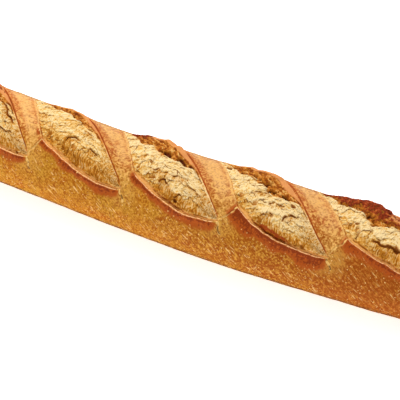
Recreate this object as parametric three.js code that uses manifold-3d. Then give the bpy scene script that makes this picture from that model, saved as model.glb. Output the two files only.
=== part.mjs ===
// A baguette: one long loaf of bread that lies on its flat base, with seven slashes across its crown.
// Each slash opened in the oven. Its torn crumb swells up between a low lip on the near side and a
// raised, ragged ear on the far side, and plain straps of crust stay between the slashes.
// Millimetres. +X runs along the loaf, +Z is up, the near side is -Y, and the origin is the middle
// of the base. "Across" is a distance over the skin from the crown's centre line, more to the near side.

import * as THREE from "three";
import { mergeVertices } from "three/addons/utils/BufferGeometryUtils.js";
import Module from "manifold-3d";

// The plain loaf.
const LENGTH = 570;
const WIDTH = 66;
const HEIGHT = 49;
const WAIST = 0.46 * HEIGHT; // height of the widest place
const PLUMPNESS = 0.05; // the loaf is thickest a little past its middle
const PLUMP_AT = 45;
const PLUMP_REACH = 60;
const SKIN_RADIUS = 31; // turns a distance across the crown into an angle
const LEAST_SKIN_SHARE = 0.3; // that radius shrinks with the girth, but not past this
const BASE_FULLNESS = 1.12; // over 1 flattens the base
const BASE_ROUNDING = 0.8;
const BASE_PRESS = 0.6; // the board presses this much of the underside flat
const TAPER_LATENESS = 7; // how late the ends start to narrow
const TAPER_BLUNTNESS = 0.62;
const END_LIFT = 9; // the tips stand this far over the board
const BEND = 5.2; // the loaf bows towards the near side in its middle
const BEND_WAVE = 560;
const BEND_AT = 14;
const BEND_CENTRING = 2.2; // keeps the bowed loaf's box on the origin
const NOSE = 21; // the last stretch of each end, with its rings closer together
const NOSE_RINGS = 7;
const RING_STEP = 12;
const RING_SIDES = 30;

// The slashes, in the order that they were cut. `x` and `across` place the middle, `turn` is the angle to
// the loaf in degrees, `long` and `wide` are the opening's size, and `ear` and `dome` are heights.
const SLASHES = [
  { x: -212, across: 5.0, turn: 29, long: 92, wide: 35, ear: 3.2, dome: 2.4 },
  { x: -142, across: 5.9, turn: 28, long: 97, wide: 38, ear: 4.4, dome: 2.6 },
  { x: -72, across: 5.6, turn: 27, long: 99, wide: 37, ear: 3.0, dome: 3.0 },
  { x: -3, across: 5.9, turn: 28, long: 97, wide: 38, ear: 5.4, dome: 2.6 },
  { x: 69, across: 6.0, turn: 28, long: 97, wide: 38, ear: 3.6, dome: 2.8 },
  { x: 138, across: 3.6, turn: 25, long: 97, wide: 37, ear: 5.0, dome: 2.6 },
  { x: 208, across: 4.4, turn: 28, long: 90, wide: 35, ear: 3.4, dome: 2.4 },
];
const PEAK = -0.28; // where along its half length an opening is widest
const REACH = 0.985; // an opening is cut off this close to its two points
const ROUND_SIDE = 0.75; // how full the leaf's rounded and hollow sides are
const HOLLOW_SIDE = 0.8;
const SWELL = 3.2; // each opening lifts the crust round it
const SWELL_LONG = 30;
const SWELL_WIDE = 17;
const STRAP_DIP = 1.2; // the straps hold the loaf in
const CROWN_REACH = 0.5; // how far down the sides the swell and the dip are felt

// The cut into the crust, and what stands in it.
const CUT_DEPTH = 2.2;
const CUT_CLEARANCE = 9; // the cutter reaches this far over the skin
const CUT_FLARE = 0.9;
const TEAR_FOOT = 3.2; // the torn crumb's edge dives under the cut's floor
const TEAR_ROOT = 7.5;
const TEAR_STATIONS = 19;
const TEAR_STEP_WIDTH = 26; // narrower than this, an opening's terraces shrink with it
// Steps from the lip inwards, each as [distance from the edge, height]; an ear's are shares of its height.
const NEAR_STEPS = [[0.2, -TEAR_FOOT], [1.4, -0.3], [3.4, -0.6], [4.8, -1.5]];
const DOME_SHARES = [0.2, 0.5, 0.8]; // where the dome has its rows, from the near lip to the ear's toe
const DOME_ARCH = [0.22, 0.82]; // the stretch of a half wave that the dome follows
const DOME_SINK = 0.6; // the dome starts this far under the skin
const EAR_FOOT = [0.2, -TEAR_FOOT];
const EAR_STEPS = [[1.6, 0.86], [4.2, 1], [6.8, 0.84]];
const EAR_SINK = 0.3;
const EAR_TOE = 9.2; // where the ear's torn face meets the crumb
const TOE_SHARE = 0.45; // the crumb's height there, as a share of the dome's
const TOE_SINK = 0.4;
const EAR_AT = -0.55; // an ear is highest here along the half length
const EAR_SPREAD = 0.45;
const CRAG = 0.55; // roughness of the torn crumb
const EAR_CRAG = 0.8;

// The rolled lip on the near side, as [distance out from the edge, height] from its foot to its inside.
const LIP_SECTION = [[6.5, -0.7], [3.4, 0.5], [0.7, 1.15], [-1.6, 0.2]];
const LIP_ROOT = -2.5;
const LIP_STATIONS = 13;
const LIP_SPAN = [-0.34, 0.94];
const LIP_ROUNDING = 0.6; // the lip grows quickly from each end
const LIP_START = 0.15; // its size there, as a share
const LIP_DIVE = 0.5; // and how far it starts under the skin

const radians = THREE.MathUtils.degToRad;
const wasm = await Module();
wasm.setup();

/** Girth of the loaf at x, as a share of its plain section's. */
function taper(x) {
  const reach = Math.min(1, Math.abs((2 * x) / LENGTH));
  const plump = 1 + PLUMPNESS * Math.exp(-(((x - PLUMP_AT) / PLUMP_REACH) ** 2));
  return plump * (1 - reach ** TAPER_LATENESS) ** TAPER_BLUNTNESS;
}

/** Radius that turns a distance across the crown at x into an angle. */
function skinRadius(x) {
  return SKIN_RADIUS * Math.max(taper(x), LEAST_SKIN_SHARE);
}

/** Sideways place of the loaf's centre line at x. */
function centreLine(x) {
  return BEND_CENTRING - BEND * Math.cos((2 * Math.PI * (x - BEND_AT)) / BEND_WAVE);
}

/** Full-size cross-section at an angle from the crown, positive to the near side. */
function section(angle) {
  const rise = Math.cos(angle);
  const under = Math.min(1, BASE_FULLNESS * Math.abs(rise) ** BASE_ROUNDING);
  return {
    y: -(WIDTH / 2) * Math.sin(angle),
    z: rise > 0 ? WAIST + (HEIGHT - WAIST) * rise : WAIST * (1 - under),
  };
}

/** Place along (p) and across (q) an opening, measured from its middle. */
function inOpening(slash, x, across) {
  const turn = radians(slash.turn);
  const [dx, dw] = [x - slash.x, across - slash.across];
  return {
    p: dx * Math.cos(turn) + dw * Math.sin(turn),
    q: -dx * Math.sin(turn) + dw * Math.cos(turn),
  };
}

/** The other way round: x and across for a place in an opening. */
function onSkin(slash, p, q) {
  const turn = radians(slash.turn);
  return {
    x: slash.x + p * Math.cos(turn) - q * Math.sin(turn),
    across: slash.across + p * Math.sin(turn) + q * Math.cos(turn),
  };
}

/** An opening's near and far edges at a share of its half length: a leaf with a long, pointed near end. */
function edges(slash, share) {
  const ahead = share > PEAK;
  const fall = ahead ? (share - PEAK) / (1 - PEAK) : (PEAK - share) / (1 + PEAK);
  const round = Math.max(0, 1 - fall * fall) ** ROUND_SIDE;
  const straight = Math.max(0, 1 - fall);
  return {
    near: (slash.wide / 2) * (ahead ? round : straight),
    far: -(slash.wide / 2) * (ahead ? straight ** HOLLOW_SIDE : round),
  };
}

/** How far the skin stands out over the plain section: swollen at the openings, held in by the straps. */
function swell(x, across) {
  const crown = Math.max(0, Math.cos(across / skinRadius(x))) ** CROWN_REACH;
  const rises = SLASHES.map((slash) => {
    const { p, q } = inOpening(slash, x, across);
    return Math.exp(-((p / SWELL_LONG) ** 2) - (q / SWELL_WIDE) ** 2);
  });
  return crown * (SWELL * rises.reduce((sum, rise) => sum + rise, 0) - STRAP_DIP) * taper(x);
}

/** A point at a height over the plain section, square to it. */
function overSection(x, angle, height) {
  const size = taper(x);
  const step = 0.01;
  const [before, at, after] = [angle - step, angle, angle + step].map(section);
  const normal = new THREE.Vector2(after.z - before.z, before.y - after.y).normalize();
  const lift = END_LIFT * Math.max(0, 1 - size) ** 2 - BASE_PRESS;
  return new THREE.Vector3(
    x,
    centreLine(x) + size * at.y + height * normal.x,
    Math.max(0, lift + size * at.z + height * normal.y),
  );
}

/** A point at a height over the swollen skin. */
function overSkin(x, across, height) {
  return overSection(x, across / skinRadius(x), height + swell(x, across));
}

/** A repeatable number from -1 to 1 for a station in a slash. */
function scatter(slash, i, j) {
  const wave = Math.sin(slash.x * 12.9898 + i * 78.233 + j * 37.719) * 43758.5453;
  return 2 * (wave - Math.floor(wave)) - 1;
}

/** A closed solid from rows of points that go round it, with its two ends filled. */
function loft(rows) {
  const sides = rows[0].length;
  const points = rows.flat();
  const index = [];
  for (let i = 0; i + 1 < rows.length; i++)
    for (let j = 0; j < sides; j++) {
      const [a, b] = [i * sides + j, i * sides + ((j + 1) % sides)];
      index.push(a, b, b + sides, a, b + sides, a + sides);
    }
  const last = (rows.length - 1) * sides;
  for (let j = 1; j + 1 < sides; j++) index.push(0, j + 1, j, last, last + j, last + j + 1);
  return toSolid(new THREE.BufferGeometry().setFromPoints(points).setIndex(index));
}

/** A three.js geometry as a manifold solid. */
function toSolid(geometry) {
  const merged = mergeVertices(geometry, 1e-4);
  const mesh = new wasm.Mesh({
    numProp: 3,
    vertProperties: merged.attributes.position.array,
    triVerts: new Uint32Array(merged.index.array),
  });
  return new wasm.Manifold(mesh);
}

/** A manifold solid as a three.js geometry. */
function toGeometry(solid) {
  const { vertProperties, triVerts } = solid.getMesh();
  const geometry = new THREE.BufferGeometry();
  geometry.setAttribute("position", new THREE.BufferAttribute(new Float32Array(vertProperties), 3));
  geometry.setIndex(new THREE.BufferAttribute(new Uint32Array(triVerts), 1));
  geometry.computeVertexNormals();
  return geometry;
}

/** The whole loaf without its slashes. */
function plainLoaf() {
  const straight = LENGTH / 2 - NOSE;
  const steps = Math.round((2 * straight) / RING_STEP);
  const middle = Array.from({ length: steps + 1 }, (_, i) => -straight + (i * 2 * straight) / steps);
  const nose = Array.from({ length: NOSE_RINGS - 1 }, (_, i) => NOSE * (1 - ((i + 1) / NOSE_RINGS) ** 2));
  const stations = [
    ...nose.map((beyond) => -straight - beyond),
    ...middle,
    ...nose.reverse().map((beyond) => straight + beyond),
  ];
  const ring = (x) =>
    Array.from({ length: RING_SIDES }, (_, j) => {
      const angle = (2 * Math.PI * j) / RING_SIDES - Math.PI;
      return overSkin(x, angle * skinRadius(x), 0);
    });
  return loft(stations.map(ring));
}

/** A blanket over an opening: rows across it, each closed below by its root. */
function blanket(slash, stations, across, root) {
  const rows = Array.from({ length: stations + 1 }, (_, i) => {
    const share = REACH * ((2 * i) / stations - 1);
    const p = (share * slash.long) / 2;
    const top = across(share, i);
    const point = ([q, height]) => {
      const at = onSkin(slash, p, q);
      return overSkin(at.x, at.across, height);
    };
    return [...top.map(point), ...top.map(([q]) => point([q, root])).reverse()];
  });
  return loft(rows);
}

/** What is cut out of the crust: the opening's outline, a little flared. */
function cutter(slash) {
  const across = (share) => {
    const { near, far } = edges(slash, share);
    const flare = CUT_FLARE * (1 - share ** 8);
    const places = [far - flare, far * 0.5, (near + far) / 2, near * 0.5, near + flare];
    return places.map((q) => [q, CUT_CLEARANCE]);
  };
  return blanket(slash, TEAR_STATIONS, across, -CUT_DEPTH);
}

/** The torn crumb, from the near lip's foot over its dome to the ear's torn face and crest. */
function tear(slash) {
  const across = (share, i) => {
    const { near, far } = edges(slash, share);
    const fit = Math.min(1, (near - far) / TEAR_STEP_WIDTH);
    const fade = 1 - Math.abs(share) ** 4;
    const ear = slash.ear * Math.exp(-(((share - EAR_AT) / EAR_SPREAD) ** 2)) * fade;
    const [rim, toe] = [near - NEAR_STEPS.at(-1)[0] * fit, far + EAR_TOE * fit];
    const nearSide = NEAR_STEPS.map(([inside, height]) => [near - inside * fit, height]);
    const dome = DOME_SHARES.map((s, j) => {
      const arch = Math.sin(Math.PI * THREE.MathUtils.lerp(...DOME_ARCH, s));
      const crag = CRAG * scatter(slash, i, j);
      return [THREE.MathUtils.lerp(rim, toe, s), fade * (slash.dome * arch + crag) - DOME_SINK];
    });
    const farSide = EAR_STEPS.map(([inside, height], j) => {
      const crag = (EAR_CRAG / slash.ear) * scatter(slash, i, DOME_SHARES.length + j);
      return [far + inside * fit, ear * (height + crag) - EAR_SINK];
    });
    const foot = [far + EAR_FOOT[0], EAR_FOOT[1]];
    const valley = [toe, TOE_SHARE * slash.dome * fade - TOE_SINK];
    return [foot, ...farSide, valley, ...dome.reverse(), ...nearSide.reverse()];
  };
  return blanket(slash, TEAR_STATIONS, across, -TEAR_ROOT);
}

/** The rolled lip of crust along the near edge of an opening. */
function nearLip(slash) {
  const rows = Array.from({ length: LIP_STATIONS + 1 }, (_, i) => {
    const along = i / LIP_STATIONS;
    const share = THREE.MathUtils.lerp(...LIP_SPAN, along);
    const full = Math.max(LIP_START, Math.sin(Math.PI * along) ** LIP_ROUNDING);
    const { near } = edges(slash, share);
    const point = (out, height) => {
      const at = onSkin(slash, (share * slash.long) / 2, near + out);
      return overSkin(at.x, at.across, height);
    };
    const dive = LIP_DIVE * (1 - full);
    const skin = LIP_SECTION.map(([out, height]) => point(out * full, height * full - dive));
    const root = LIP_SECTION.map(([out]) => point(out * full, LIP_ROOT));
    return [...skin.reverse(), ...root];
  });
  return loft(rows);
}

const uncut = wasm.Manifold.union([plainLoaf(), ...SLASHES.map(nearLip)]);
const cut = wasm.Manifold.difference([uncut, ...SLASHES.map(cutter)]);
const baked = wasm.Manifold.union([cut, ...SLASHES.map(tear)]);

const crust = new THREE.MeshStandardMaterial({ color: 0xc98a43, roughness: 0.72, metalness: 0 });
const loaf = new THREE.Mesh(toGeometry(baked), crust);
loaf.name = "loaf";

const baguette = new THREE.Group();
baguette.add(loaf);
export default baguette;
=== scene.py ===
"""A baguette on a pale table: slashed crust, torn crumb, ragged ears and baked blisters.

Sizes are in millimetres until a mesh is made. +X runs along the loaf, +Z is up and the near side is -Y.
"Across" is a distance over the skin from the crown's centre line, and grows towards the near side. An
opening's own places are p, along it, and q, across it and growing towards the near side.
"""

from __future__ import annotations

import logging
import math
from dataclasses import dataclass
from enum import Enum
from typing import Sequence, Union

import bmesh
import bpy
import numpy as np
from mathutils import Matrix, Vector

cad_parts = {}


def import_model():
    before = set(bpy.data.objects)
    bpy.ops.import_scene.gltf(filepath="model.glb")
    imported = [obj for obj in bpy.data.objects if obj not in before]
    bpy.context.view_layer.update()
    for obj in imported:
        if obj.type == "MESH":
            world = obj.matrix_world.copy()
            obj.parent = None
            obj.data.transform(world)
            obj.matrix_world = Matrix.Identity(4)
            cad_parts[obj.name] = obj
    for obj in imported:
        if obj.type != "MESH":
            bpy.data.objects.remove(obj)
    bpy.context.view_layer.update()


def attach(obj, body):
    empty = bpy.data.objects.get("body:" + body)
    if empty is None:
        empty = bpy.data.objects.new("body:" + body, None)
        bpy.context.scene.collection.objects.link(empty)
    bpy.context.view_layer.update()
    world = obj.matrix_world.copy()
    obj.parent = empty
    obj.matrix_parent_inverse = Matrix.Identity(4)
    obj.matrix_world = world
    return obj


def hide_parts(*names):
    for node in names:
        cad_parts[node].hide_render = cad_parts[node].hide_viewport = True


log = logging.getLogger("baguette")

MM = 0.001
BODY = "root"
NODE = "loaf"
LIP_STARTS = (-0.38, -0.2)
# distance from the lip over which the crumb pales; nearer the lip lie its golden torn layer and painted
# shade
GOLDEN_DROP = 13.0
LARGE_PLATES = (8.0, 5.6)
SMALL_PLATES = (3.1, 2.1)
Array = np.ndarray
Pair = tuple[float, float]
Colour = tuple[float, float, float]


class Trait(str, Enum):
    """Names of what the meshes carry for their relief and their finishes."""

    OUTWARD = "outward"
    NEARWARD = "nearward"
    SPOT = "spot"
    LAY = "lay"
    INSET = "inset"
    STRIP = "strip"
    DROP = "drop"
    SKIN = "skin"
    SIDE = "side"
    SCORCH = "scorch"
    CREST = "crest"
    SEAM = "seam"
    FLUSH = "flush"
    COMB = "comb"
    TEAR = "tear"
    GAP = "gap"
    BELOW = "below"
    GROOVE = "groove"
    INNER = "inner"
    CHAR = "char"
    STRETCH = "stretch"
    PIT = "pit"
    RIM = "rim"
    BODY = "body"
    WEAVE = "weave"
    PLATE = "plate"
    BARE = "bare"
    PALE = "pale"
    HOLLOW = "hollow"
    TOAST = "toast"
    FIBRE = "fibre"
    TONE = "tone"


class Draw(int, Enum):
    """What a random curve is drawn for, as a shift of the seed of its slash, crack or tear."""

    LIP = 0
    EDGE = 5
    GAP = 7
    WIDTH = 9
    REACH = 20
    BAND = 21
    SEAM = 22
    STRIP = 30
    LEDGE = 31
    DIP = 32
    GROOVE = 33
    CHAR = 34
    EAR = 40
    SWAY = 50
    SIDE_CRACK = 60
    LINK = 80


# ---------------- small helpers


def srgb(red: int, green: int, blue: int) -> Colour:
    """Turn a colour as seen on a screen into the linear numbers that shaders take.

    Args:
        red: 0 to 255.
        green: 0 to 255.
        blue: 0 to 255.

    Returns:
        The three linear channels.
    """

    def channel(value: int) -> float:
        """One channel, made linear."""
        share = value / 255
        return share / 12.92 if share <= 0.04045 else ((share + 0.055) / 1.055) ** 2.4

    return channel(red), channel(green), channel(blue)


def ease(low: float, high: float, value: Array) -> Array:
    """Rise smoothly from 0 at low to 1 at high.

    Args:
        low: Where the rise starts.
        high: Where it ends.
        value: Where it is asked for.

    Returns:
        The share risen, from 0 to 1.
    """
    share = np.clip((value - low) / (high - low), 0, 1)
    return share * share * (3 - 2 * share)


def hump(centre: float, spread: float, value: Array) -> Array:
    """A smooth bump of height 1 at centre."""
    return np.exp(-(((value - centre) / spread) ** 2))


def softened(values: Array, window: int) -> Array:
    """Average each value with its neighbours along the last axis, leaving the ends in place.

    Args:
        values: The values to smooth.
        window: How many values are averaged, an odd number.

    Returns:
        Smoothed values of the same shape.
    """
    half = window // 2
    kernel = np.hanning(window + 2)[1:-1]
    kernel /= kernel.sum()
    padding = [(0, 0)] * (values.ndim - 1) + [(half, half)]
    padded = np.pad(values, padding, mode="reflect", reflect_type="odd")
    return np.apply_along_axis(lambda row: np.convolve(row, kernel, mode="valid"), -1, padded)


def wander(seed: int, places: Array, step: float) -> Array:
    """A gentle random curve through one dimension.

    Args:
        seed: Fixes the draw.
        places: Where the curve is asked for.
        step: Distance between the curve's random knots.

    Returns:
        Values from about -1 to 1.
    """
    knots = np.random.default_rng(seed).uniform(-1, 1, 512)
    where = places / step + 200
    whole = np.floor(where).astype(int)
    part = where - whole
    part = part * part * (3 - 2 * part)
    return knots[whole % 512] * (1 - part) + knots[(whole + 1) % 512] * part


def stand(name: str, mesh: bpy.types.Mesh) -> bpy.types.Object:
    """Put a mesh into the scene as an object at the origin."""
    made = bpy.data.objects.new(name, mesh)
    bpy.context.scene.collection.objects.link(made)
    return made


def write_mesh(name: str, points: Array, faces: Sequence[Sequence[int]]) -> bpy.types.Mesh:
    """Make a smooth-shaded mesh.

    Args:
        name: The mesh's name.
        points: Corner places in millimetres, one row each.
        faces: Corner numbers of each face.

    Returns:
        The new mesh, in metres.
    """
    mesh = bpy.data.meshes.new(name)
    mesh.from_pydata((points * MM).tolist(), [], faces)
    mesh.polygons.foreach_set("use_smooth", np.ones(len(mesh.polygons), dtype=bool))
    mesh.validate()
    return mesh


def round_quads(rows: int, sides: int) -> Array:
    """Corner numbers of the quads between rows of points, each row closed into a ring."""
    row, side = np.meshgrid(np.arange(rows - 1), np.arange(sides), indexing="ij")
    here, there, following = row * sides, (row + 1) * sides, (side + 1) % sides
    return np.stack([here + side, there + side, there + following, here + following], axis=-1)


def carry(mesh: bpy.types.Mesh, traits: dict[Trait, Array]) -> None:
    """Store numbers or vectors on the corner points of a mesh.

    Args:
        mesh: The mesh.
        traits: Values for its corners, each a number or a row of three.
    """
    for trait, values in traits.items():
        kind, key = ("FLOAT_VECTOR", "vector") if values.ndim == 2 else ("FLOAT", "value")
        layer = mesh.attributes.new(trait.value, kind, "POINT")
        layer.data.foreach_set(key, np.ascontiguousarray(values, dtype=np.float32).ravel())


# ---------------- nodes


@dataclass(frozen=True)
class Wire:
    """A number that runs through a node tree; Python's operators add the Math nodes."""

    sheet: Sheet
    socket: bpy.types.NodeSocket

    def _maths(self, operation: str, *others: Number) -> Wire:
        """Add one Math node fed by this wire and the others."""
        return self.sheet.wire("ShaderNodeMath", {"operation": operation}, dict(enumerate((self, *others))))

    def __add__(self, other: Number) -> Wire:
        """Sum."""
        return self._maths("ADD", other)

    __radd__ = __add__

    def __sub__(self, other: Number) -> Wire:
        """Difference."""
        return self._maths("SUBTRACT", other)

    def __rsub__(self, other: Number) -> Wire:
        """Difference, the other way round."""
        return self.sheet.wire("ShaderNodeMath", {"operation": "SUBTRACT"}, {0: other, 1: self})

    def __mul__(self, other: Number) -> Wire:
        """Product."""
        return self._maths("MULTIPLY", other)

    __rmul__ = __mul__

    def __truediv__(self, other: Number) -> Wire:
        """Quotient."""
        return self._maths("DIVIDE", other)

    def __neg__(self) -> Wire:
        """The opposite number."""
        return self._maths("MULTIPLY", -1.0)

    def __pow__(self, other: Number) -> Wire:
        """Power."""
        return self._maths("POWER", other)

    def least(self, other: Number) -> Wire:
        """The smaller of two."""
        return self._maths("MINIMUM", other)

    def most(self, other: Number) -> Wire:
        """The larger of two."""
        return self._maths("MAXIMUM", other)

    def ease(self, low: float, high: float) -> Wire:
        """Rise smoothly from 0 at low to 1 at high, or fall where low is the larger.

        Args:
            low: Where the rise starts.
            high: Where it ends.

        Returns:
            The share risen, from 0 to 1.
        """
        if low > high:
            return 1 - self.ease(high, low)
        feeds = {"Value": self, "From Min": low, "From Max": high}
        return self.sheet.wire("ShaderNodeMapRange", {"interpolation_type": "SMOOTHSTEP"}, feeds)

    def hump(self, centre: float, spread: float) -> Wire:
        """A smooth bump of height 1 at centre."""
        away = (self - centre) / spread
        return (-(away * away))._maths("EXPONENT")


Number = Union[float, Wire]


@dataclass(frozen=True)
class Sheet:
    """A node tree with one way to add a node to it."""

    tree: bpy.types.NodeTree

    def node(self, kind: str, settings: dict | None = None, feeds: dict | None = None) -> bpy.types.Node:
        """Add a node.

        Args:
            kind: The node's type.
            settings: Its properties, set first. "stops" are a colour ramp's places and colours.
            feeds: Values, colours or wires by input name or number.

        Returns:
            The new node.
        """
        made = self.tree.nodes.new(kind)
        for key, value in (settings or {}).items():
            if key == "stops":
                self._set_stops(made.color_ramp, value)
            else:
                setattr(made, key, value)
        for key, value in (feeds or {}).items():
            self._feed(self._input(made, key), value)
        return made

    @staticmethod
    def _input(made: bpy.types.Node, key: str | int) -> bpy.types.NodeSocket:
        """Find an input by number, or the enabled one by name."""
        if isinstance(key, int):
            return made.inputs[key]
        return next(one for one in made.inputs if one.name == key and one.enabled)

    def _feed(self, target: bpy.types.NodeSocket, value: object) -> None:
        """Link a wire to an input, or set the input's own value.

        Args:
            target: The socket.
            value: A wire, or the socket's own value.
        """
        if isinstance(value, Wire):
            self.tree.links.new(value.socket, target)
        elif isinstance(value, tuple) and target.type == "RGBA":
            target.default_value = (*value, 1.0)
        else:
            target.default_value = value

    @staticmethod
    def _set_stops(ramp: bpy.types.ColorRamp, stops: Sequence[tuple[float, Colour]]) -> None:
        """Give a colour ramp its stops.

        Args:
            ramp: The node's ramp.
            stops: Places from 0 to 1 with their colours.
        """
        for extra in range(len(stops) - len(ramp.elements)):
            ramp.elements.new(0.5 + extra * 0.01)
        for element, (place, colour) in zip(ramp.elements, stops):
            element.position = place
            element.color = (*colour, 1.0)

    def wire(
        self, kind: str, settings: dict | None = None, feeds: dict | None = None, out: str | None = None
    ) -> Wire:
        """Add a node and take the output of a name, or its first one."""
        made = self.node(kind, settings, feeds)
        return Wire(self, next(one for one in made.outputs if one.enabled and out in (None, one.name)))

    def carried(self, trait: Trait, out: str = "Fac") -> Wire:
        """Read what a mesh carries, in a material."""
        return self.wire("ShaderNodeAttribute", {"attribute_name": trait.value}, out=out)

    def mix(self, share: Number, first: object, second: object, kind: str = "RGBA") -> Wire:
        """Mix two colours, or two numbers of kind "FLOAT", by a share."""
        feeds = {"Factor": share, "A": first, "B": second}
        return self.wire("ShaderNodeMix", {"data_type": kind}, feeds, out="Result")

    def coated(self, colour: object, *coats: tuple[Number, object]) -> Wire:
        """Lay coats over a colour in turn, each of a share and a colour."""
        for share, coat in coats:
            colour = self.mix(share, colour, coat)
        return colour

    def vector(self, operation: str, first: object, second: object) -> Wire:
        """Combine two vectors."""
        return self.wire("ShaderNodeVectorMath", {"operation": operation}, {0: first, 1: second})

    def scaled(self, place: Wire, size: Number) -> Wire:
        """Multiply a vector by a number."""
        return self.wire("ShaderNodeVectorMath", {"operation": "SCALE"}, {0: place, "Scale": size})

    def parts(self, place: Wire) -> tuple[Wire, Wire, Wire]:
        """The three numbers of a vector."""
        made = self.node("ShaderNodeSeparateXYZ", feeds={0: place})
        return tuple(Wire(self, one) for one in made.outputs)

    def joined(self, x: Number, y: Number, z: Number) -> Wire:
        """A vector from three numbers."""
        return self.wire("ShaderNodeCombineXYZ", feeds={0: x, 1: y, 2: z})

    def noise(
        self, place: Wire, size: float, detail: float = 2.0, rough: float = 0.5, out: str = "Fac"
    ) -> Wire:
        """Cloudy noise from 0 to 1.

        Args:
            place: Where it is read, in millimetres.
            size: The largest clouds' width in millimetres.
            detail: How many finer layers it has.
            rough: How strong the finer layers are.
            out: "Fac" for a number or "Color" for three.

        Returns:
            The noise.
        """
        feeds = {"Vector": place, "Scale": 1 / size, "Detail": detail, "Roughness": rough}
        return self.wire("ShaderNodeTexNoise", {"noise_dimensions": "3D"}, feeds, out=out)

    def swirl(self, place: Wire, size: float, detail: float, reach: float) -> Wire:
        """Offsets that wander over a size, up to half a reach to each side."""
        cloud = self.noise(place, size, detail, out="Color")
        return self.scaled(self.vector("SUBTRACT", cloud, (0.5, 0.5, 0.5)), reach)

    def cells(self, place: Wire, size: float) -> Wire:
        """Distance to the middles of cells of a width in millimetres."""
        return self.wire("ShaderNodeTexVoronoi", {}, {"Vector": place, "Scale": 1 / size}, out="Distance")


class ReliefTree:
    """A Geometry Nodes tree with named inputs, run once on a mesh and then taken off it."""

    seed_stride: float = 17.3

    def __init__(self, name: str, sizes: dict[str, float]) -> None:
        """Make the tree and its inputs.

        Args:
            name: The tree's name.
            sizes: Named inputs and their values.
        """
        self.tree = bpy.data.node_groups.new(name, "GeometryNodeTree")
        self.sheet = Sheet(self.tree)
        self.sizes = sizes
        self.tree.interface.new_socket("Geometry", in_out="INPUT", socket_type="NodeSocketGeometry")
        self.tree.interface.new_socket("Geometry", in_out="OUTPUT", socket_type="NodeSocketGeometry")
        for label in sizes:
            kind = "NodeSocketInt" if label == "Seed" else "NodeSocketFloat"
            self.tree.interface.new_socket(label, in_out="INPUT", socket_type=kind)
        self.entry = self.sheet.node("NodeGroupInput")
        self.mesh = Wire(self.sheet, self.entry.outputs["Geometry"])

    def size(self, label: str) -> Wire:
        """The wire of a named input."""
        return Wire(self.sheet, self.entry.outputs[label])

    def trait(self, trait: Trait, vector: bool = False) -> Wire:
        """Read what the mesh carries."""
        settings = {"data_type": "FLOAT_VECTOR" if vector else "FLOAT"}
        feeds = {"Name": trait.value}
        return self.sheet.wire("GeometryNodeInputNamedAttribute", settings, feeds, out="Attribute")

    def seeded(self, place: Wire) -> Wire:
        """Move a pattern to another place for each seed."""
        shift = self.size("Seed") * self.seed_stride
        return self.sheet.vector("ADD", place, self.sheet.joined(shift, -shift, 0.5 * shift))

    def move(self, offset: Wire) -> None:
        """Move the mesh's points by an offset in millimetres."""
        feeds = {"Geometry": self.mesh, "Offset": self.sheet.scaled(offset, MM)}
        self.mesh = self.sheet.wire("GeometryNodeSetPosition", {}, feeds)

    def keep(self, trait: Trait, value: Wire, vector: bool = False) -> None:
        """Store a number or a vector on the mesh's points."""
        settings = {"data_type": "FLOAT_VECTOR" if vector else "FLOAT", "domain": "POINT"}
        feeds = {"Geometry": self.mesh, "Name": trait.value, "Value": value}
        self.mesh = self.sheet.wire("GeometryNodeStoreNamedAttribute", settings, feeds)

    def apply(self, made: bpy.types.Object, finish: bpy.types.Material) -> bpy.types.Object:
        """End the tree, run it on an object, and keep the result as the object's plain mesh.

        Args:
            made: The object.
            finish: The material that the result gets.

        Returns:
            The same object.
        """
        whole = self.sheet.wire("GeometryNodeRealizeInstances", feeds={0: self.mesh})
        dressed = self.sheet.wire("GeometryNodeSetMaterial", feeds={"Geometry": whole, "Material": finish})
        last = self.sheet.node("NodeGroupOutput")
        self.tree.links.new(dressed.socket, last.inputs[0])
        modifier = made.modifiers.new(self.tree.name, "NODES")
        modifier.node_group = self.tree
        for item in self.tree.interface.items_tree:
            if item.in_out == "INPUT" and item.name in self.sizes:
                modifier[item.identifier] = self.sizes[item.name]
        evaluated = made.evaluated_get(bpy.context.evaluated_depsgraph_get())
        baked = bpy.data.meshes.new_from_object(evaluated)
        made.modifiers.remove(modifier)
        made.data = baked
        made.data.name = made.name
        return made


# ---------------- the loaf's form


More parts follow.
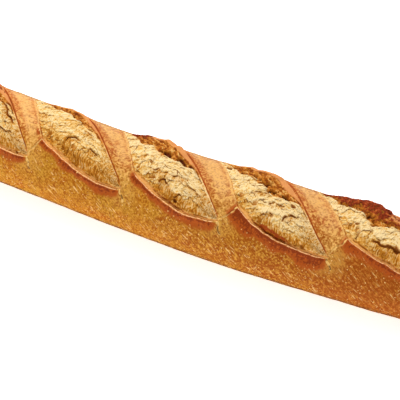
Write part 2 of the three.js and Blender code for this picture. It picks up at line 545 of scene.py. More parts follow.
@dataclass(frozen=True)
class LoafForm:
    """The plain loaf before it is slashed, with the same sizes as its solid."""

    length: float = 570.0
    width: float = 66.0
    height: float = 49.0
    waist_share: float = 0.46
    plumpness: float = 0.05
    plump_at: float = 45.0
    plump_reach: float = 60.0
    skin: float = 31.0
    least_skin_share: float = 0.3
    base_fullness: float = 1.12
    base_rounding: float = 0.8
    base_press: float = 0.6
    taper_lateness: float = 7.0
    taper_bluntness: float = 0.62
    end_lift: float = 9.0
    bend: float = 5.2
    bend_wave: float = 560.0
    bend_at: float = 14.0
    bend_centring: float = 2.2
    angle_step: float = 0.01

    def girth(self, x: Array) -> Array:
        """Girth at x as a share of the plain section's."""
        reach = np.minimum(1, np.abs(2 * x / self.length))
        plump = 1 + self.plumpness * hump(self.plump_at, self.plump_reach, x)
        return plump * (1 - reach**self.taper_lateness) ** self.taper_bluntness

    def skin_radius(self, x: Array) -> Array:
        """Radius that turns a distance across the crown into an angle."""
        return self.skin * np.maximum(self.girth(x), self.least_skin_share)

    def centre_line(self, x: Array) -> Array:
        """Sideways place of the loaf's middle."""
        return self.bend_centring - self.bend * np.cos(2 * math.pi * (x - self.bend_at) / self.bend_wave)

    def section(self, angle: Array) -> tuple[Array, Array]:
        """Full-size cross-section at an angle from the crown, positive to the near side.

        Args:
            angle: Angles from the crown.

        Returns:
            Sideways and upward places.
        """
        rise = np.cos(angle)
        waist = self.waist_share * self.height
        under = np.minimum(1, self.base_fullness * np.abs(rise) ** self.base_rounding)
        up = np.where(rise > 0, waist + (self.height - waist) * rise, waist * (1 - under))
        return -self.width / 2 * np.sin(angle), up

    def outward(self, angle: Array) -> tuple[Array, Array]:
        """Direction square to the section, as sideways and upward shares.

        Args:
            angle: Angles from the crown.

        Returns:
            The two shares of a unit vector.
        """
        side_before, up_before = self.section(angle - self.angle_step)
        side_after, up_after = self.section(angle + self.angle_step)
        side, up = up_after - up_before, side_before - side_after
        long = np.hypot(side, up)
        return side / long, up / long

    def place(self, x: Array, angle: Array, height: Array) -> Array:
        """Points at a height over the plain section.

        Args:
            x: Places along the loaf.
            angle: Angles from the crown.
            height: Heights, square to the section.

        Returns:
            One row of three for each point.
        """
        size = self.girth(x)
        side, up = self.section(angle)
        out_side, out_up = self.outward(angle)
        lift = self.end_lift * np.maximum(0, 1 - size) ** 2 - self.base_press
        y = self.centre_line(x) + size * side + height * out_side
        z = np.maximum(0, lift + size * up + height * out_up)
        return np.stack([x, y, z], axis=-1)


@dataclass(frozen=True)
class Tear:
    """A step across the crumb: a plate stands up behind it, and the crumb in front of it lies deep.

    Its ends are given as shares of the opening's half length and millimetres from its axis, and its bow
    is how far its middle is pushed back, in millimetres.
    """

    start: Pair
    end: Pair
    bow: float = 0.0
    step: float = 1.0
    gap: float = 0.5


@dataclass(frozen=True)
class Cavity:
    """A hollow torn into the crumb, placed as a tear's ends are; brown is 1 where its inside is darkened,
    with painted shade and a toasted colour.
    """

    share: float
    q: float
    long: float
    wide: float
    depth: float
    brown: float = 1.0


@dataclass(frozen=True)
class Slash:
    """One opened slash: a leaf-shaped opening that lies slanting over the crown.

    Names that end in "at" and "spread" are shares of its half length. Pale, link, flare and scorch only
    change colours: the crumb's lightness, the link crack, the band below the lip near its tip, and that
    whole band. Golden is how far from the lip the crumb gets paler and less fibrous; nearer the lip it is
    darker, partly its golden torn layer and partly painted shade. Char is how burnt and craggy the ear is.
    """

    x: float
    across: float
    turn: float
    long: float
    wide: float
    ear: float
    dome: float
    strip: float
    char: float
    char_at: float
    char_spread: float
    groove: float
    scorch: float
    knot: float
    seed: int
    tears: tuple[Tear, ...] = ()
    cavities: tuple[Cavity, ...] = ()
    pale: float = 0.37
    golden: float = GOLDEN_DROP
    link: float = 1.0
    flare: float = 3.2
    back: float = 0.0
    bulge: float = 0.0
    bulge_at: float = 0.2
    bulge_spread: float = 0.4
    lip_sway: float = 0.45
    lip_sway_step: float = 3.2
    peak: float = -0.28
    round_side: float = 0.75
    hollow_side: float = 0.8
    stations: int = 420
    corner_softness: int = 25
    knot_share: float = -0.4
    knot_off: float = 0.6

    def on_skin(self, p: Array, q: Array) -> tuple[Array, Array]:
        """Turn places in the opening into x and across."""
        cos, sin = math.cos(math.radians(self.turn)), math.sin(math.radians(self.turn))
        return self.x + p * cos - q * sin, self.across + p * sin + q * cos

    def in_opening(self, x: Array, across: Array) -> tuple[Array, Array]:
        """Turn x and across into places in the opening."""
        cos, sin = math.cos(math.radians(self.turn)), math.sin(math.radians(self.turn))
        dx, dw = x - self.x, across - self.across
        return dx * cos + dw * sin, -dx * sin + dw * cos

    def along(self, share: Array) -> Array:
        """Places along the opening at shares of its half length; its upper end reaches further back."""
        behind = np.maximum(0, (self.peak - share) / (1 + self.peak))
        return share * self.long / 2 - self.back * behind**1.3

    def _leaf(self) -> tuple[Array, Array, Array]:
        """Shares of the half length with the near and far edges there, their corners softened.

        Returns:
            The shares, the near edge and the far edge.
        """
        share = np.linspace(-1, 1, self.stations)
        ahead = share > self.peak
        fall = np.where(ahead, (share - self.peak) / (1 - self.peak), (self.peak - share) / (1 + self.peak))
        full = np.maximum(0, 1 - fall * fall) ** self.round_side
        straight = np.maximum(0, 1 - fall)
        near = self.wide / 2 * np.where(ahead, full, straight) + self._bulged(share)
        far = -self.wide / 2 * np.where(ahead, straight**self.hollow_side, full)
        return share, softened(near, self.corner_softness), softened(far, self.corner_softness)

    def _bulged(self, share: Array) -> Array:
        """How far the lip is pushed out of its plain curve, or drawn in."""
        swayed = self.lip_sway * wander(self.seed + Draw.SWAY, share * self.long / 2, self.lip_sway_step)
        return (self.bulge * hump(self.bulge_at, self.bulge_spread, share) + swayed) * (1 - share**6)

    def edges(self, share: Array) -> tuple[Array, Array]:
        """Near and far edges of the opening at shares of its half length."""
        stations, near, far = self._leaf()
        return np.interp(share, stations, near), np.interp(share, stations, far)

    def tip(self) -> Pair:
        """The opening's low, pointed end, as x and across."""
        return self.on_skin(self.long / 2, 0.0)

    def corner(self) -> Pair:
        """The near corner, where the lip begins, as x and across."""
        bulge = float(self._bulged(np.array(self.peak)))
        return self.on_skin(self.peak * self.long / 2, self.wide / 2 + bulge)

    def knot_place(self) -> Pair:
        """The small knob of crust beside the near corner, as x and across."""
        near, _ = self.edges(np.array(self.knot_share))
        return self.on_skin(float(self.along(self.knot_share)), float(near) + self.knot_off)

    def edge_distances(self, x: Array, across: Array) -> tuple[Array, ...]:
        """Distances over the skin to the opening's two edges.

        Args:
            x: Places along the loaf.
            across: Places across it.

        Returns:
            Distance to the near edge and the share where it is met, then the same for the far edge.
            Distances are negative inside the opening.
        """
        stations, near, far = self._leaf()
        along = self.along(stations)
        p, q = self.in_opening(x, across)
        share = np.interp(p, along, stations, left=-2.0, right=2.0)
        low, high = np.interp(share, stations, far), np.interp(share, stations, near)
        sign = np.where((np.abs(share) < 1) & (q < high) & (q > low), -1.0, 1.0)
        found = []
        for edge in (near, far):
            away = np.hypot(p[:, None] - along, q[:, None] - edge)
            closest = away.argmin(axis=1)
            found += [sign * away[np.arange(len(p)), closest], stations[closest]]
        return tuple(found)


@dataclass(frozen=True)
class Crack:
    """A wandering line from one place to another, over the skin or in an opening."""

    start: Pair
    end: Pair
    seed: int
    sway: float = 0.9
    sway_step: float = 3.0
    bow: float = 0.0
    gape: float = 1.0
    pale: float = 1.0
    stations: int = 90

    def long(self) -> float:
        """Distance between its ends."""
        return math.hypot(self.end[0] - self.start[0], self.end[1] - self.start[1])

    def distances(self, first: Array, second: Array) -> tuple[Array, Array, Array]:
        """Distances to the line, how far along it each closest place is, and the side that each lies on.

        Args:
            first: Places along the loaf or the opening.
            second: Places across it.

        Returns:
            Distances and lengths along the line, in millimetres, and 1 in front of it or -1 behind.
        """
        share, long = np.linspace(0, 1, self.stations), self.long()
        ahead = ((self.end[0] - self.start[0]) / long, (self.end[1] - self.start[1]) / long)
        arch = np.maximum(0, np.sin(math.pi * share))
        swung = self.sway * wander(self.seed, share * long, self.sway_step) * arch**0.5 - self.bow * arch
        line = [self.start[0] + ahead[0] * share * long - ahead[1] * swung]
        line.append(self.start[1] + ahead[1] * share * long + ahead[0] * swung)
        off = (first[:, None] - line[0], second[:, None] - line[1])
        away = np.hypot(*off)
        closest = away.argmin(axis=1)
        chosen = np.arange(len(first)), closest
        run = [np.gradient(one)[closest] for one in line]
        side = np.sign(off[1][chosen] * run[0] - off[0][chosen] * run[1])
        return away[chosen], share[closest] * long, side


@dataclass(frozen=True)
class SlashedForm:
    """The loaf with its slashes: the skin that the crust and the crumb both stand on."""

    loaf: LoafForm
    slashes: tuple[Slash, ...]
    swell: float = 3.2
    swell_long: float = 30.0
    swell_wide: float = 17.0
    strap_dip: float = 1.2
    crown_reach: float = 0.5
    side_crack: Pair = (2.5, 8.0)
    side_sway_step: float = 2.5
    link_gape: float = 0.35
    link_pale: float = 0.8
    lead_in: float = 1.5

    def cracks(self) -> list[Crack]:
        """Cracks from each opening's tip: to the next opening's corner, and down the near side.

        Returns:
            The cracks, with the loaf's last opening giving only the one down its side.
        """
        found = []
        for slash, following in zip(self.slashes, self.slashes[1:] + (None,)):
            tip = slash.tip()
            start = (tip[0] - self.lead_in, tip[1])
            end = tip[0] + self.side_crack[0], tip[1] + self.side_crack[1]
            found.append(Crack(start, end, slash.seed + Draw.SIDE_CRACK, sway_step=self.side_sway_step))
            if following:
                look = {"gape": self.link_gape, "pale": self.link_pale * slash.link}
                found.append(Crack(start, following.corner(), slash.seed + Draw.LINK, **look))
        return found

    def lip_line(self, x: Array) -> Array:
        """Where the openings' low edges lie, with straight runs from each tip to the next corner.

        Args:
            x: Places along the loaf.

        Returns:
            How far across it the line lies at each.
        """
        runs = []
        for slash in self.slashes:
            share = np.linspace(slash.peak, 1, slash.stations)
            near, _ = slash.edges(share)
            runs.append(np.stack(slash.on_skin(share * slash.long / 2, near)))
        along, line = np.concatenate(runs, axis=1)
        return np.interp(x, along, line)

    def rise(self, x: Array, across: Array) -> Array:
        """How far the skin stands out: swollen at the openings and held in by the straps.

        Args:
            x: Places along the loaf.
            across: Places across it.

        Returns:
            Heights over the plain loaf.
        """
        crown = np.maximum(0, np.cos(across / self.loaf.skin_radius(x))) ** self.crown_reach
        total = np.zeros_like(x)
        for slash in self.slashes:
            p, q = slash.in_opening(x, across)
            total += np.exp(-((p / self.swell_long) ** 2) - (q / self.swell_wide) ** 2)
        return crown * (self.swell * total - self.strap_dip) * self.loaf.girth(x)

    def over_skin(self, x: Array, across: Array, height: Array) -> Array:
        """Points at a height over the swollen skin."""
        return self.loaf.place(x, across / self.loaf.skin_radius(x), height + self.rise(x, across))

    def directions(self, x: Array, across: Array) -> tuple[Array, Array]:
        """Unit vectors out of the skin, and over it towards the near side."""
        side, up = self.loaf.outward(across / self.loaf.skin_radius(x))
        zero = np.zeros_like(side)
        return np.stack([zero, side, up], axis=-1), np.stack([zero, -up, side], axis=-1)


# ---------------- finishes


def open_material(name: str) -> tuple[bpy.types.Material, Sheet, Wire]:
    """Start a material.

    Args:
        name: The material's name.

    Returns:
        The material, its sheet, and the object's own places in millimetres.
    """
    made = bpy.data.materials.new(name)
    made.use_nodes = True
    made.node_tree.nodes.clear()
    sheet = Sheet(made.node_tree)
    return made, sheet, sheet.scaled(sheet.wire("ShaderNodeTexCoord", out="Object"), 1 / MM)


def close_material(
    sheet: Sheet, colour: Wire, roughness: Number, specular: float, height: Wire, depth: float
) -> None:
    """End a material with a matte shader.

    Args:
        sheet: The material's sheet.
        colour: Base colour.
        roughness: Roughness over the surface.
        specular: Strength of the shine, the same everywhere.
        height: Fine relief, from about 0 to 1.
        depth: Depth of that relief in millimetres.
    """
    bump = sheet.wire("ShaderNodeBump", {}, {"Strength": 1.0, "Distance": depth * MM, "Height": height})
    feeds = {"Base Color": colour, "Roughness": roughness, "Specular IOR Level": specular, "Normal": bump}
    shader = sheet.wire("ShaderNodeBsdfPrincipled", {}, feeds)
    sheet.node("ShaderNodeOutputMaterial", feeds={"Surface": shader})


def plates(sheet: Sheet, place: Wire, size: Pair) -> tuple[Wire, Wire]:
    """Plates that overlap like scales, each lowest along its upper edge.

    Args:
        sheet: The sheet that the pattern is drawn on.
        place: Where it is read, in millimetres.
        size: The plates' width and height in millimetres.

    Returns:
        Height on the plate, from about -0.5 at its upper edge to 0.5 at its lower one, and the distance
        to the plate's edge as a share of its size.
    """
    squeezed = sheet.vector("MULTIPLY", place, (1 / size[0], 1 / size[1], 1.0))
    feeds = {"Vector": squeezed, "Scale": 1.0}
    flat = {"voronoi_dimensions": "2D"}
    middle = sheet.wire("ShaderNodeTexVoronoi", flat | {"feature": "F1"}, feeds, out="Position")
    edge = sheet.wire("ShaderNodeTexVoronoi", flat | {"feature": "DISTANCE_TO_EDGE"}, feeds, out="Distance")
    along, across, _ = sheet.parts(sheet.vector("SUBTRACT", squeezed, middle))
    return along * 0.3 + across * 0.9, edge


@dataclass(frozen=True)
class CrustFinish:
    """Baked crust: peach straps, golden sides, scorched bands below the lips, freckles and scratches, with
    painted light and shade.
    """

    peach: Colour = srgb(235, 178, 108)
    # blush patches, and painted shade along the straps' edges
    blush_and_edge_shade: Colour = srgb(198, 114, 54)
    golden: Colour = srgb(192, 120, 20)
    ochre: Colour = srgb(192, 136, 34)
    amber: Colour = srgb(194, 102, 14)
    deep: Colour = srgb(160, 76, 10)
    straw: Colour = srgb(240, 182, 98)
    corn: Colour = srgb(226, 162, 62)
    toffee: Colour = srgb(206, 124, 48)
    speck: Colour = srgb(254, 206, 130)
    rust: Colour = srgb(156, 74, 4)
    scorched: Colour = srgb(178, 80, 20)
    charred: Colour = srgb(124, 42, 6)
    # painted highlight along the lips' crests and on the knots' tops
    rim: Colour = srgb(252, 196, 140)
    honey: Colour = srgb(222, 168, 78)
    # painted shade on the far flank, which draws a dark line along the top silhouette
    far_side_shade: Colour = srgb(158, 102, 50)
    # painted contact shadow along the foot, where the loaf meets the table
    foot: Colour = srgb(30, 13, 4)
    sole: Colour = srgb(150, 94, 38)
    # painted shade in the seams' creases and in the open parts of the cracks
    crack: Colour = srgb(108, 52, 12)
    pith: Colour = srgb(244, 194, 112)
    cloud_size: float = 55.0
    pool_size: float = 19.0
    patch_size: float = 11.0
    blob_size: float = 2.8
    grain_size: float = 1.3
    hatch_size: float = 0.8
    scratch_size: float = 1.25
    scratch_patches: float = 9.0
    scratch_stretch: float = 6.5
    scratch_turn: float = math.radians(40)
    comb_squeeze: float = 0.14
    fine_specks: float = 2.0
    coarse_specks: float = 4.4
    golden_near: Pair = (4.0, 24.0)
    golden_far: Pair = (-18.0, -32.0)
    golden_below: Pair = (-1.5, 1.0)
    flank_far: Pair = (-29.0, -36.0)
    flank_below: Pair = (-0.5, 1.5)
    strap_near: Pair = (-1.0, 9.0)
    strap_above: Pair = (1.5, -1.5)
    # where the far flank's painted shade begins and ends
    far_shade_from: Pair = (-16.5, -22.0)
    far_shade_to: Pair = (-40.0, -30.0)
    darkens_along: Pair = (-150.0, 190.0)
    toffee_along: Pair = (70.0, 150.0)
    lit_end: Pair = (-75.0, -125.0)
    lit_more: float = 0.14
    # where the painted contact shadow lies
    foot_edge: Pair = (0.585, 0.635)
    sole_edge: Pair = (0.66, 0.72)
    roughness: float = 0.6
    specular: float = 0.08
    relief: float = 0.25

    def material(self) -> bpy.types.Material:
        """Build the crust's material.

        Returns:
            The material.
        """
        made, sheet, place = open_material("crust")
        scorch, crest, seam, tear, gap = (
            sheet.carried(one) for one in (Trait.SCORCH, Trait.CREST, Trait.SEAM, Trait.TEAR, Trait.GAP)
        )
        below, side = sheet.carried(Trait.BELOW), sheet.carried(Trait.SIDE)
        patches = sheet.noise(place, self.patch_size, 2.0, 0.6)
        blobs = sheet.noise(place, self.blob_size, 1.0)
        grain = sheet.noise(place, self.grain_size, 2.0, 0.6)
        skin = sheet.carried(Trait.SKIN, "Vector")
        across = sheet.parts(skin)[1]
        lower_strap = across.ease(*self.strap_near) * below.ease(*self.strap_above)
        flank = below.ease(*self.flank_below).most(across.ease(*self.flank_far))
        flank = flank * (1 - side.ease(*self.sole_edge))
        hatch, scratches = self._scratches(sheet, skin)
        specks = self._specks(sheet, place) * (0.35 + 0.65 * flank) * side.ease(0.06, 0.14)

        fleck = sheet.mix(sheet.parts(place)[0].ease(*self.toffee_along), self.corn, self.toffee)
        pale = sheet.mix(flank, self.straw, fleck)
        freckled = sheet.coated(
            self._baked(sheet, place, patches, below),
            (blobs.ease(0.53, 0.62) * (0.3 + 0.6 * lower_strap), pale),
            (blobs.ease(0.47, 0.36) * (0.32 + 0.22 * lower_strap), self.rust),
            (grain.ease(0.5, 0.64) * 0.75, pale),
            (grain.ease(0.49, 0.36) * (0.4 + 0.3 * flank.most(lower_strap * 0.7)), self.rust),
            (hatch.ease(0.47, 0.34) * 0.45 * flank, self.rust),
            (hatch.ease(0.54, 0.68) * 0.35 * flank, self.corn),
            (scratches * flank * 0.75, self.speck),
            (specks, self.speck),
        )
        colour = sheet.coated(
            self._scorched(sheet, freckled, scorch, patches, grain),
            # painted highlight along the lips' crests and on the knots' tops
            ((crest * (0.1 + 1.7 * grain)).ease(0.42, 0.92), self.rim),
            # the seam: baked dark red, with painted shade in the crease at its core
            (seam.ease(0.2, 0.7) * (0.5 + 0.7 * patches), self.scorched),
            ((seam * (0.6 + 0.8 * grain)).ease(0.7, 1.0) * 0.7, self.crack),
            ((tear * (0.3 + 1.2 * grain)).ease(0.3, 0.75), self.pith),
            # painted shade in the open part of each crack
            (gap, self.crack),
        )

        height = (grain - 0.5) * 0.9 + (blobs - 0.5) * 0.5 + (hatch - 0.5) * 0.3 * flank + specks * 0.3
        roughness = self.roughness + (grain - 0.5) * 0.3 + side.ease(0.5, 0.6) * 0.3
        close_material(sheet, colour, roughness, self.specular, height, self.relief)
        return made

    def _baked(self, sheet: Sheet, place: Wire, patches: Wire, below: Wire) -> Wire:
        """The crust's large colours, from the crown down to the underside, with painted shade on the
        straps' edges, the far flank and the foot.

        Args:
            sheet: The material's sheet.
            place: The object's own places in millimetres.
            patches: Broad noise.
            below: Distance below the line of the lips.

        Returns:
            The colour.
        """
        side, flush, tip = (sheet.carried(one) for one in (Trait.SIDE, Trait.FLUSH, Trait.PALE))
        across, x = sheet.parts(sheet.carried(Trait.SKIN, "Vector"))[1], sheet.parts(place)[0]
        clouds = sheet.noise(place, self.cloud_size, 1.0)
        pools = sheet.noise(place, self.pool_size, 1.0)
        along = x.ease(*self.darkens_along)
        down = across.ease(*self.golden_near).most(below.ease(*self.golden_below))
        down = down.most(across.ease(*self.golden_far))
        golden = sheet.coated(
            self.golden,
            (pools.ease(0.42, 0.66) * 0.8, self.ochre),
            (patches.ease(0.5, 0.75) * 0.8, self.amber),
        )
        rightward = along * 0.75 + along.ease(0.75, 1.0) * 0.35
        darker = (rightward + (clouds - 0.5) * 1.2 + (patches - 0.5) * 0.8) * down
        colour = sheet.coated(
            self.peach,
            (((patches - 0.5) * 3.2 + 0.2).ease(0.0, 1.0), self.blush_and_edge_shade),
            # painted shade along the straps' edges, partly a redder bake there
            ((flush * (0.5 + patches)).ease(0.02, 0.65), self.blush_and_edge_shade),
            (down, golden),
            (darker.ease(0.05, 0.95), self.deep),
            ((tip * (0.5 + patches)).ease(0.15, 0.9) * 0.7, self.honey),
        )
        return sheet.coated(
            sheet.scaled(colour, 1 + x.ease(*self.lit_end) * self.lit_more),
            # painted shade on the far flank
            (across.ease(*self.far_shade_from) * across.ease(*self.far_shade_to) * 0.7, self.far_side_shade),
            # painted contact shadow along the foot, then the baked sole beyond it
            (side.ease(*self.foot_edge), sheet.mix(side.ease(*self.sole_edge), self.foot, self.sole)),
        )

    def _scorched(self, sheet: Sheet, colour: Wire, scorch: Wire, patches: Wire, grain: Wire) -> Wire:
        """The dark band below each lip, combed square to the lip and darkest in spots.

        Args:
            sheet: The material's sheet.
            colour: What the band covers.
            scorch: The band's strength.
            patches: Broad noise.
            grain: Fine noise.

        Returns:
            The colour with the band over it.
        """
        squeeze = (1.0, self.comb_squeeze, 1.0)
        combed = sheet.vector("MULTIPLY", sheet.carried(Trait.COMB, "Vector"), squeeze)
        combing = sheet.noise(combed, self.grain_size, 2.0, 0.6)
        uneven = (combing - 0.5) * 1.6 + (grain - 0.5) * 1.4
        edge = scorch * (0.75 + 0.5 * patches) + uneven * scorch
        return sheet.coated(
            colour,
            (edge.ease(0.05, 0.7) * 0.94, self.scorched),
            (grain.ease(0.53, 0.64) * scorch.ease(0.1, 0.5) * 0.32, self.blush_and_edge_shade),
            ((edge + (grain - 0.5) * 1.6).ease(0.85, 1.4) * 0.8, self.charred),
        )

    def _scratches(self, sheet: Sheet, skin: Wire) -> tuple[Wire, Wire]:
        """Fine hatching and a few light scratches that run slanting down the near side.

        Args:
            sheet: The material's sheet.
            skin: Places over the skin.

        Returns:
            The hatching and the scratches.
        """
        stretch = (self.scratch_stretch, 1.0, 1.0)
        feeds = {"Vector": skin, "Rotation": (0.0, 0.0, self.scratch_turn), "Scale": stretch}
        turned = sheet.wire("ShaderNodeMapping", {"vector_type": "TEXTURE"}, feeds)
        hatch = sheet.noise(turned, self.hatch_size, 1.0)
        lines = sheet.noise(turned, self.scratch_size, 1.0).ease(0.62, 0.7)
        return hatch, lines * sheet.noise(skin, self.scratch_patches, 1.0).ease(0.44, 0.6)

    def _specks(self, sheet: Sheet, place: Wire) -> Wire:
        """Tiny pale spots where flour and steam blistered the crust.

        Args:
            sheet: The material's sheet.
            place: The object's own places in millimetres.

        Returns:
            Their strength.
        """
        fine = sheet.cells(place, self.fine_specks).ease(0.22, 0.12)
        coarse = sheet.cells(place, self.coarse_specks).ease(0.11, 0.07)
        fine_crowd = sheet.noise(place, 5.0, 1.0).ease(0.52, 0.57)
        coarse_crowd = sheet.noise(place, 12.0, 1.0).ease(0.48, 0.54)
        return (fine * fine_crowd * 0.8).most(coarse * coarse_crowd)


@dataclass(frozen=True)
class CrumbFinish:
    """Torn crumb: cream plates, golden fibres, a peach shelf behind the lip, a baked ear, and painted shade
    in its cracks and hollows.
    """

    shades: tuple[tuple[float, Colour], ...] = (
        (0.0, srgb(140, 74, 6)),
        (0.25, srgb(198, 126, 32)),
        (0.5, srgb(225, 165, 74)),
        (0.75, srgb(240, 197, 120)),
        (1.0, srgb(250, 220, 162)),
    )
    # painted shade: the hollows' dark insides and the dark lines along the plates' upper edges
    crack: Colour = srgb(128, 62, 6)
    # the fibres' golden tint, and painted shade round the hollows
    halo: Colour = srgb(206, 132, 36)
    stroke: Colour = srgb(150, 86, 16)
    peach: Colour = srgb(238, 176, 98)
    toast: Colour = srgb(156, 80, 14)
    amber: Colour = srgb(210, 132, 48)
    # flake and cleft colour the ear's high and low parts, partly painted highlight and painted shade
    flake: Colour = srgb(238, 188, 108)
    cleft: Colour = srgb(126, 56, 8)
    crown: Colour = srgb(228, 152, 88)
    burnt: Colour = srgb(150, 56, 22)
    ravine: Colour = srgb(170, 74, 26)
    # the charred crags' lighter tops, a painted highlight over the burnt colour
    ember: Colour = srgb(196, 100, 44)
    # the charred ear's crevices, and the darkest painted shade in the toasted strip's hollows
    deep: Colour = srgb(98, 34, 8)
    patch_size: float = 6.0
    speck_size: float = 2.2
    grain_size: float = 1.1
    thread_size: float = 0.8
    thread_squeeze: float = 0.17
    thread_crowd: float = 5.0
    crack_crowd: float = 4.5
    split_crowd: float = 3.7
    roughness: float = 0.8
    specular: float = 0.08
    relief: float = 0.25

    def material(self) -> bpy.types.Material:
        """Build the crumb's material.

        Returns:
            The material.
        """
        made, sheet, place = open_material("crumb")
        hollow, toast, char, inner, rim, tone = (
            sheet.carried(one)
            for one in (Trait.HOLLOW, Trait.TOAST, Trait.CHAR, Trait.INNER, Trait.RIM, Trait.TONE)
        )
        grain = sheet.noise(place, self.grain_size, 2.0, 0.6)
        specks = sheet.noise(place, self.speck_size, 1.0)
        torn, height = self._torn(sheet, place, grain, specks)
        # the charred ear follows its crags' height: painted highlights on the tops, painted shade in the
        # crevices, over burnt colours
        lumps = tone + (grain - 0.5) * 0.5
        charred = sheet.coated(
            self.deep,
            (lumps.ease(0.34, 0.56), self.burnt),
            (lumps.ease(0.56, 0.7), self.ember),
            (lumps.ease(0.72, 0.86), self.amber),
        )
        colour = sheet.coated(
            torn,
            (toast.ease(0.15, 0.75), self._flaky(sheet, tone, grain, specks)),
            ((rim * (0.7 + 0.5 * grain)).ease(0.2, 0.8) * 0.9, self.crown),
            (inner, self._shelf(sheet, grain, specks)),
            ((char + (specks - 0.5) * 1.8 * char.ease(0.0, 0.3)).ease(0.3, 0.7), charred),
            # painted shade in the hollows: warm round them, dark inside, darkest in the toasted strip
            (hollow.ease(0.0, 0.35) * 0.65, self.halo),
            ((hollow * (0.7 + 0.6 * grain)).ease(0.2, 0.85) * 0.9, self.crack),
            ((hollow * toast).ease(0.45, 0.9) * 0.85, self.deep),
        )
        roughness = self.roughness + (grain - 0.5) * 0.2
        close_material(sheet, colour, roughness, self.specular, height, self.relief)
        return made

    def _flaky(self, sheet: Sheet, tone: Wire, grain: Wire, specks: Wire) -> Wire:
        """The ear's torn inner face: toasted, cream on its high flakes and brown in its low clefts, partly
        painted light and shade.

        Args:
            sheet: The material's sheet.
            tone: The relief's own tone.
            grain: Fine noise.
            specks: Middling noise.

        Returns:
            The colour.
        """
        uneven = tone + (grain - 0.5) * 0.5 + (specks - 0.5) * 0.6
        return sheet.coated(
            self.toast,
            (uneven.ease(0.41, 0.63), self.amber),
            (uneven.ease(0.63, 0.8) * 0.9, self.flake),
            (uneven.ease(0.38, 0.24) * 0.85, self.cleft),
        )

    def _shelf(self, sheet: Sheet, grain: Wire, specks: Wire) -> Wire:
        """The shelf behind the lip: a brown line, a pale edge, and brown again where a gap opens.

        Args:
            sheet: The material's sheet.
            grain: Fine noise.
            specks: Middling noise.

        Returns:
            The colour.
        """
        uneven, groove = specks - 0.5, sheet.carried(Trait.GROOVE)
        from_near = sheet.parts(sheet.carried(Trait.INSET, "Vector"))[0] + uneven
        return sheet.coated(
            self.toast,
            ((grain - 0.5 + from_near.ease(0.1, 0.7)).ease(0.2, 0.8), self.peach),
            ((groove + uneven * 0.9).ease(0.25, 0.6) * from_near.ease(1.1, 1.7), self.toast),
            ((groove + uneven * 0.5).ease(0.45, 0.75) * from_near.ease(0.8, 1.3), self.ravine),
        )

    def _torn(self, sheet: Sheet, place: Wire, grain: Wire, specks: Wire) -> tuple[Wire, Wire]:
        """The crumb's plates, cracks and fibres.

        Args:
            sheet: The material's sheet.
            place: The object's own places in millimetres.
            grain: Fine noise.
            specks: Middling noise.

        Returns:
            Their colour and their fine relief.
        """
        tone, fibre, body = (sheet.carried(one) for one in (Trait.TONE, Trait.FIBRE, Trait.BODY))
        weave, plate = (sheet.carried(one, "Vector") for one in (Trait.WEAVE, Trait.PLATE))
        patches = sheet.noise(place, self.patch_size, 2.0, 0.6)
        combed = sheet.vector("MULTIPLY", weave, (1.0, self.thread_squeeze, 1.0))
        threads = sheet.noise(combed, self.thread_size, 1.0)
        crowd = sheet.noise(weave, self.thread_crowd, 1.0).ease(0.4, 0.6)
        whole = body * (1 - 0.7 * fibre)
        rise, edge = plates(sheet, plate, LARGE_PLATES)
        low_rise, low_edge = plates(sheet, plate, SMALL_PLATES)
        # painted shade: dark lines along the plates' upper edges, where the plate above overhangs
        cracks = edge.ease(0.08, 0.03) * rise.ease(0.0, -0.22)
        cracks = cracks * sheet.noise(place, self.crack_crowd, 1.0).ease(0.48, 0.58)
        splits = low_edge.ease(0.14, 0.05) * low_rise.ease(0.02, -0.2)
        splits = splits * sheet.noise(place, self.split_crowd, 1.0).ease(0.46, 0.56)

        light = tone + (patches - 0.5) * 0.5 + (specks - 0.5) * 0.6 + (grain - 0.5) * 1.1
        # the plates lighter towards their raised lower edges: painted light
        light = light + (rise * 0.14 + low_rise * 0.2) * whole + (threads - 0.5) * (0.3 + 2.7 * fibre)
        colour = sheet.coated(
            sheet.wire("ShaderNodeValToRGB", {"stops": self.shades}, {"Fac": light}, out="Color"),
            (fibre * 0.42, self.halo),
            (threads.ease(0.45, 0.35) * (0.3 + 0.7 * crowd) * (0.45 + 0.55 * fibre), self.stroke),
            # painted shade along the plates' upper edges
            (cracks.most(splits) * whole * 0.55, self.stroke),
            (cracks * whole * 0.7, self.crack),
        )
        height = (grain - 0.5) * 0.8 + (specks - 0.5) * 0.6 + (threads - 0.5) * 1.6 * (fibre + 0.2)
        return colour, height - cracks.most(splits * 0.6) * whole * 0.8


@dataclass(frozen=True)
class BlisterFinish:
    """The tiny blisters on the crust, paler than what they stand on."""

    pale: Colour = srgb(250, 206, 126)
    brown: Colour = srgb(224, 152, 66)
    roughness: float = 0.5
    specular: float = 0.35
    relief: float = 0.06

    def material(self) -> bpy.types.Material:
        """Build the blisters' material.

        Returns:
            The material.
        """
        made, sheet, place = open_material("blister")
        tone = sheet.noise(place, 3.0, 1.0)
        grain = sheet.noise(place, 0.6, 1.0)
        colour = sheet.mix(tone.ease(0.38, 0.62), self.pale, self.brown)
        roughness = self.roughness + (grain - 0.5) * 0.2
        close_material(sheet, colour, roughness, self.specular, grain, self.relief)
        return made


# ---------------- pieces


